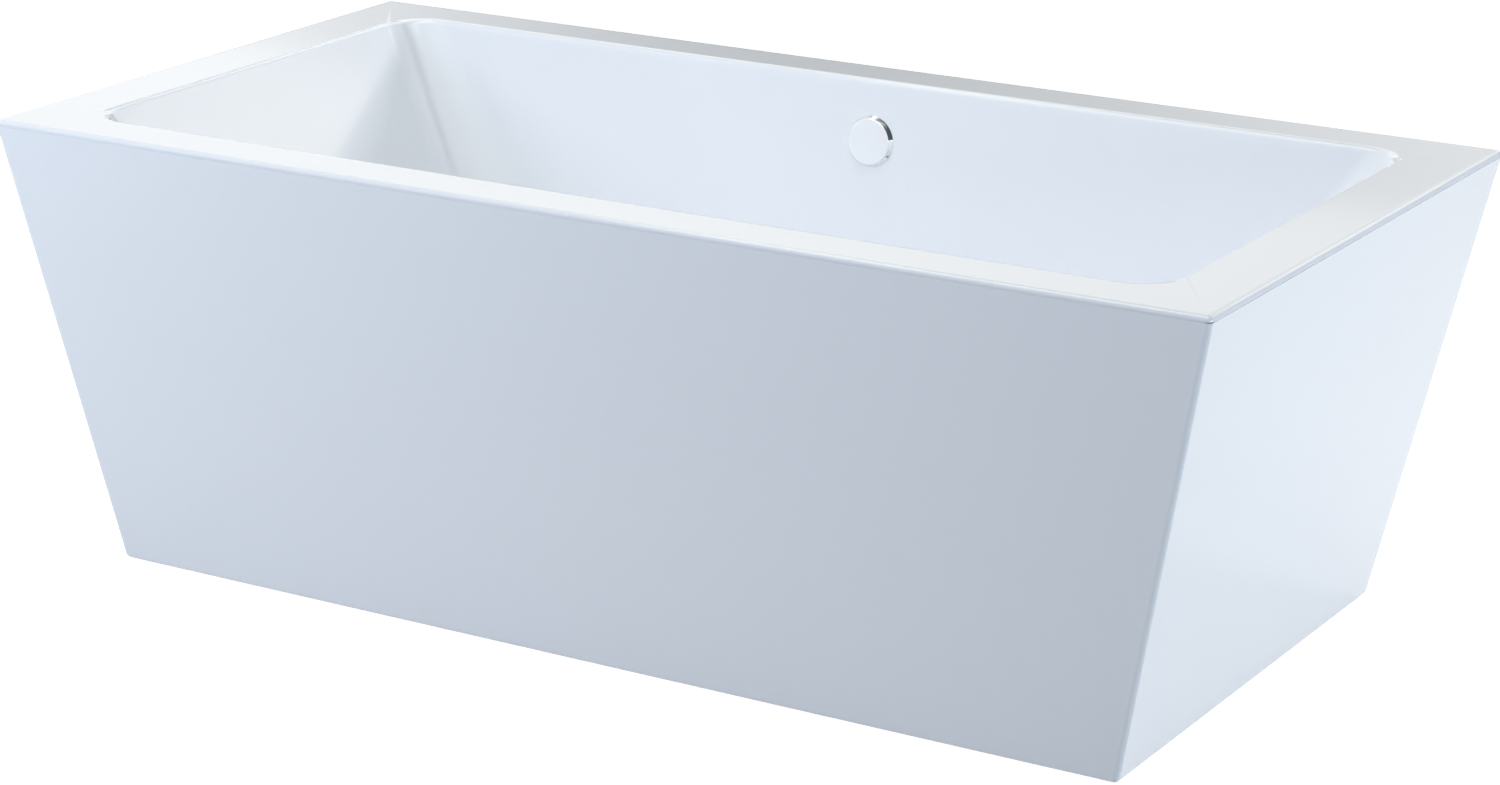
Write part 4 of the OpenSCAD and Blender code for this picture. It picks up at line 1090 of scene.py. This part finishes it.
# Softboxes: name, where they hang, where they point, width and height in metres, watts, colour, and whether
# reflections show them
SOFTBOXES = (
    ("over", (0.0, -0.3, 3.2), (0, 0, 0.4), 3.0, 2.0, 42.0, (1.0, 0.991, 0.926), True),
    ("right_low", (4.2, -0.1, 0.6), (0.8, 0, 0.3), 2.4, 1.1, 67.3, (0.712, 0.84, 1.0), True),
    ("front_high", (0.8, -3.6, 3.0), (0.0, 0, 0.3), 2.6, 2.0, 36.9, (0.61, 0.782, 1.0), False),
    ("front_left", (-2.4, -3.2, 2.4), (-0.4, 0, 0.4), 2.0, 2.0, 68.3, (0.909, 0.947, 1.0), False),
    ("left_near", (-1.9, -1.9, 0.9), (-0.8, -0.4, 0.35), 1.0, 1.4, 9.3, (0.635, 0.781, 1.0), False),
    ("back_low", (-0.8, 1.9, 1.5), (-0.37, -0.35, 0.45), 1.6, 0.6, 44.7, (0.929, 0.962, 1.0), False),
    ("edge_back", (1.15, 2.2, 1.7), (0.85, 0.0, 0.6), 1.0, 0.6, 2.1, (1.0, 0.907, 0.818), True),
)
# A dark card behind the tub: left and right end, distance, height, middle and half width of its dark part
BACK_CARD = (-2.65, 1.15, 1.5, 1.0, -0.85, 1.85)
# A dark arch over the right half of the tub: centre X and Z, radius, lowest and highest angle, half width
ARCH_CARD = (0.0, 0.53, 2.2, 6, 110, 0.35)
ARCH_Y = 0.2  # Where the arch's foot stands; its top bends a metre further back
ARCH_STEPS = 16
ARCH_GLOW = 0.09
GLOW_TONE = (0.7, 0.85, 1.0, 1)
WHITE = (1, 1, 1, 1)
FLOOR_REACH = 30
CAMERA_PLACE = (2.5247, -4.1255, 1.7972)


def mirrored_card(name, points, faces, **look):
    """A card that reflections alone see, so that it neither lights nor shades anything."""
    card = new_piece(name, points, faces)
    card.data.materials.append(card_finish(name, **look))
    card.visible_camera = card.visible_diffuse = card.visible_shadow = card.visible_transmission = False
    return card


def card_finish(name, glow_level=0.0, middle=None, half=None):
    """Black or with a faint glow, throughout or only in the middle and clear towards both ends."""
    material = bpy.data.materials.new(name)
    bench = shader_bench(material)
    glow = bench.add("ShaderNodeEmission", {"Color": GLOW_TONE, "Strength": glow_level})
    if half:
        place = bench.add("ShaderNodeTexCoord").outputs["Object"]
        x = bench.add("ShaderNodeSeparateXYZ", {0: place}).outputs["X"]
        distance = bench.maths("ABSOLUTE", bench.maths("SUBTRACT", x, middle))
        fade = bench.add("ShaderNodeMapRange", {"From Max": half, "Value": distance},
                         interpolation_type="SMOOTHSTEP")
        clear = bench.add("ShaderNodeBsdfTransparent")
        glow = bench.add("ShaderNodeMixShader", {0: fade.outputs["Result"], 1: glow, 2: clear})
    bench.put(glow, bench.tree.nodes["Material Output"].inputs["Surface"])
    return material


def back_card():
    """The card behind the tub."""
    left, right, y, high, middle, half = BACK_CARD
    return mirrored_card("card_back", [(left, y, 0), (right, y, 0), (right, y, high), (left, y, high)],
                         [(0, 1, 2, 3)], middle=middle, half=half)


def arch_card():
    """The arch over the right half of the tub; it bends away from the middle as it rises."""
    x, z, radius, low, high, half = ARCH_CARD
    points = []
    for i in range(ARCH_STEPS + 1):
        t = math.radians(low + (high - low) * i / ARCH_STEPS)
        y = ARCH_Y + math.sin(t / 2) ** 4
        for side in SIDES:
            points.append((x + radius * math.cos(t), y + side * half, z + radius * math.sin(t)))
    faces = [(2 * i, 2 * i + 1, 2 * i + 3, 2 * i + 2) for i in range(ARCH_STEPS)]
    return mirrored_card("card_arch", points, faces, glow_level=ARCH_GLOW)


def aimed(name, data, place, aim):
    """An object at a place that looks along a direction, linked to the scene."""
    holder = bpy.data.objects.new(name, data)
    holder.location = place
    holder.rotation_mode = "QUATERNION"
    holder.rotation_quaternion = aim.to_track_quat("-Z", "Y")
    bpy.context.scene.collection.objects.link(holder)
    return holder


def softbox(name, place, target, wide, high, watts, tone, mirrored):
    """A rectangular lamp that points at a target."""
    light = bpy.data.lights.new(name, "AREA")
    light.shape = "RECTANGLE"
    light.size, light.size_y = wide, high
    light.energy = watts
    light.color = tone
    aimed(name, light, place, Vector(target) - Vector(place)).visible_glossy = mirrored


def white_seen(bench):
    """A factor that is 1 where the camera, a reflection or a refraction looks, and 0 for light."""
    path = bench.add("ShaderNodeLightPath").outputs
    seen = bench.maths("MAXIMUM", path["Is Camera Ray"], path["Is Glossy Ray"])
    return bench.maths("MAXIMUM", seen, path["Is Transmission Ray"])


def white_world(studio):
    """A world that lights with a soft sky and shows white."""
    world = bpy.data.worlds.new("studio_world")
    bench = shader_bench(world)
    light = bench.fill(bench.tree.nodes["Background"],
                       {"Color": (*studio.sky, 1), "Strength": studio.sky_level})
    shown = bench.add("ShaderNodeBackground", {"Color": WHITE})
    mix = bench.add("ShaderNodeMixShader", {0: white_seen(bench), 1: light, 2: shown})
    bench.put(mix, bench.tree.nodes["World Output"].inputs["Surface"])
    bpy.context.scene.world = world


def floor_finish(studio):
    """A pale floor that shows almost white and still takes the tub's shadow."""
    material = bpy.data.materials.new("studio_floor")
    bench = shader_bench(material)
    surface = bench.fill(bench.tree.nodes["Principled BSDF"], {
        "Base Color": (*studio.floor_tone, 1), "Roughness": 0.9, "Specular IOR Level": 0.1})
    glow = bench.add("ShaderNodeEmission", {
        "Color": WHITE, "Strength": bench.product(white_seen(bench), studio.floor_white)})
    both = bench.add("ShaderNodeAddShader", {0: surface, 1: glow})
    bench.put(both, bench.tree.nodes["Material Output"].inputs["Surface"])
    return material


class BATHTUB_OT_stage(bpy.types.Operator):
    """Set up the floor, the softboxes, the sky and the camera"""

    bl_idname = "bathtub.stage"
    bl_label = "Stage"

    def execute(self, context):
        scene, studio = context.scene, context.scene.bathtub_studio
        corners = [(x * FLOOR_REACH, y * FLOOR_REACH, 0) for x, y in SQUARE]
        floor = new_piece("studio_floor", corners, [(0, 1, 2, 3)])
        floor.data.materials.append(floor_finish(studio))
        for box in SOFTBOXES:
            softbox(*box)
        back_card()
        arch_card()
        white_world(studio)
        az, el = studio.azimuth, studio.elevation
        back = Vector((math.sin(az) * math.cos(el), -math.cos(az) * math.cos(el), math.sin(el)))
        scene.camera = aimed("camera", bpy.data.cameras.new("camera"), CAMERA_PLACE, -back)
        scene.camera.data.sensor_width = 36
        scene.camera.data.lens = studio.lens
        scene.view_settings.view_transform = "Standard"
        return {"FINISHED"}


# ---------------- panel and registration

OPERATORS = (
    BATHTUB_OT_stage, BATHTUB_OT_basin, BATHTUB_OT_skirt, BATHTUB_OT_overflow_cap, BATHTUB_OT_drain,
    BATHTUB_OT_fixings, BATHTUB_OT_feet, BATHTUB_OT_finishes,
)
GROUPS = {
    "bathtub_shell": BathtubShellSizes, "bathtub_fittings": BathtubFittingSizes,
    "bathtub_fixings": BathtubFixingSizes, "bathtub_colours": BathtubColours, "bathtub_studio": BathtubStudio,
}


class BATHTUB_PT_panel(bpy.types.Panel):
    """Sizes, colours and build steps of the bathtub"""

    bl_idname = "BATHTUB_PT_panel"
    bl_label = "Bathtub"
    bl_space_type = "VIEW_3D"
    bl_region_type = "UI"
    bl_category = "Bathtub"

    def draw(self, context):
        for name in GROUPS:
            box = self.layout.box()
            group = getattr(context.scene, name)
            for key in group.bl_rna.properties.keys():
                if key not in ("rna_type", "name"):
                    box.prop(group, key)
        for operator in OPERATORS:
            self.layout.operator(operator.bl_idname)


def register():
    for group in GROUPS.values():
        bpy.utils.register_class(group)
    for operator in OPERATORS:
        bpy.utils.register_class(operator)
    bpy.utils.register_class(BATHTUB_PT_panel)
    for name, group in GROUPS.items():
        setattr(bpy.types.Scene, name, PointerProperty(type=group))


def unregister():
    for name in GROUPS:
        delattr(bpy.types.Scene, name)
    bpy.utils.unregister_class(BATHTUB_PT_panel)
    for operator in reversed(OPERATORS):
        bpy.utils.unregister_class(operator)
    for group in GROUPS.values():
        bpy.utils.unregister_class(group)


def main():
    register()
    for operator in OPERATORS:
        step = operator.bl_idname.split(".")[1]
        getattr(bpy.ops.bathtub, step)()


if __name__ == "__main__":
    main()
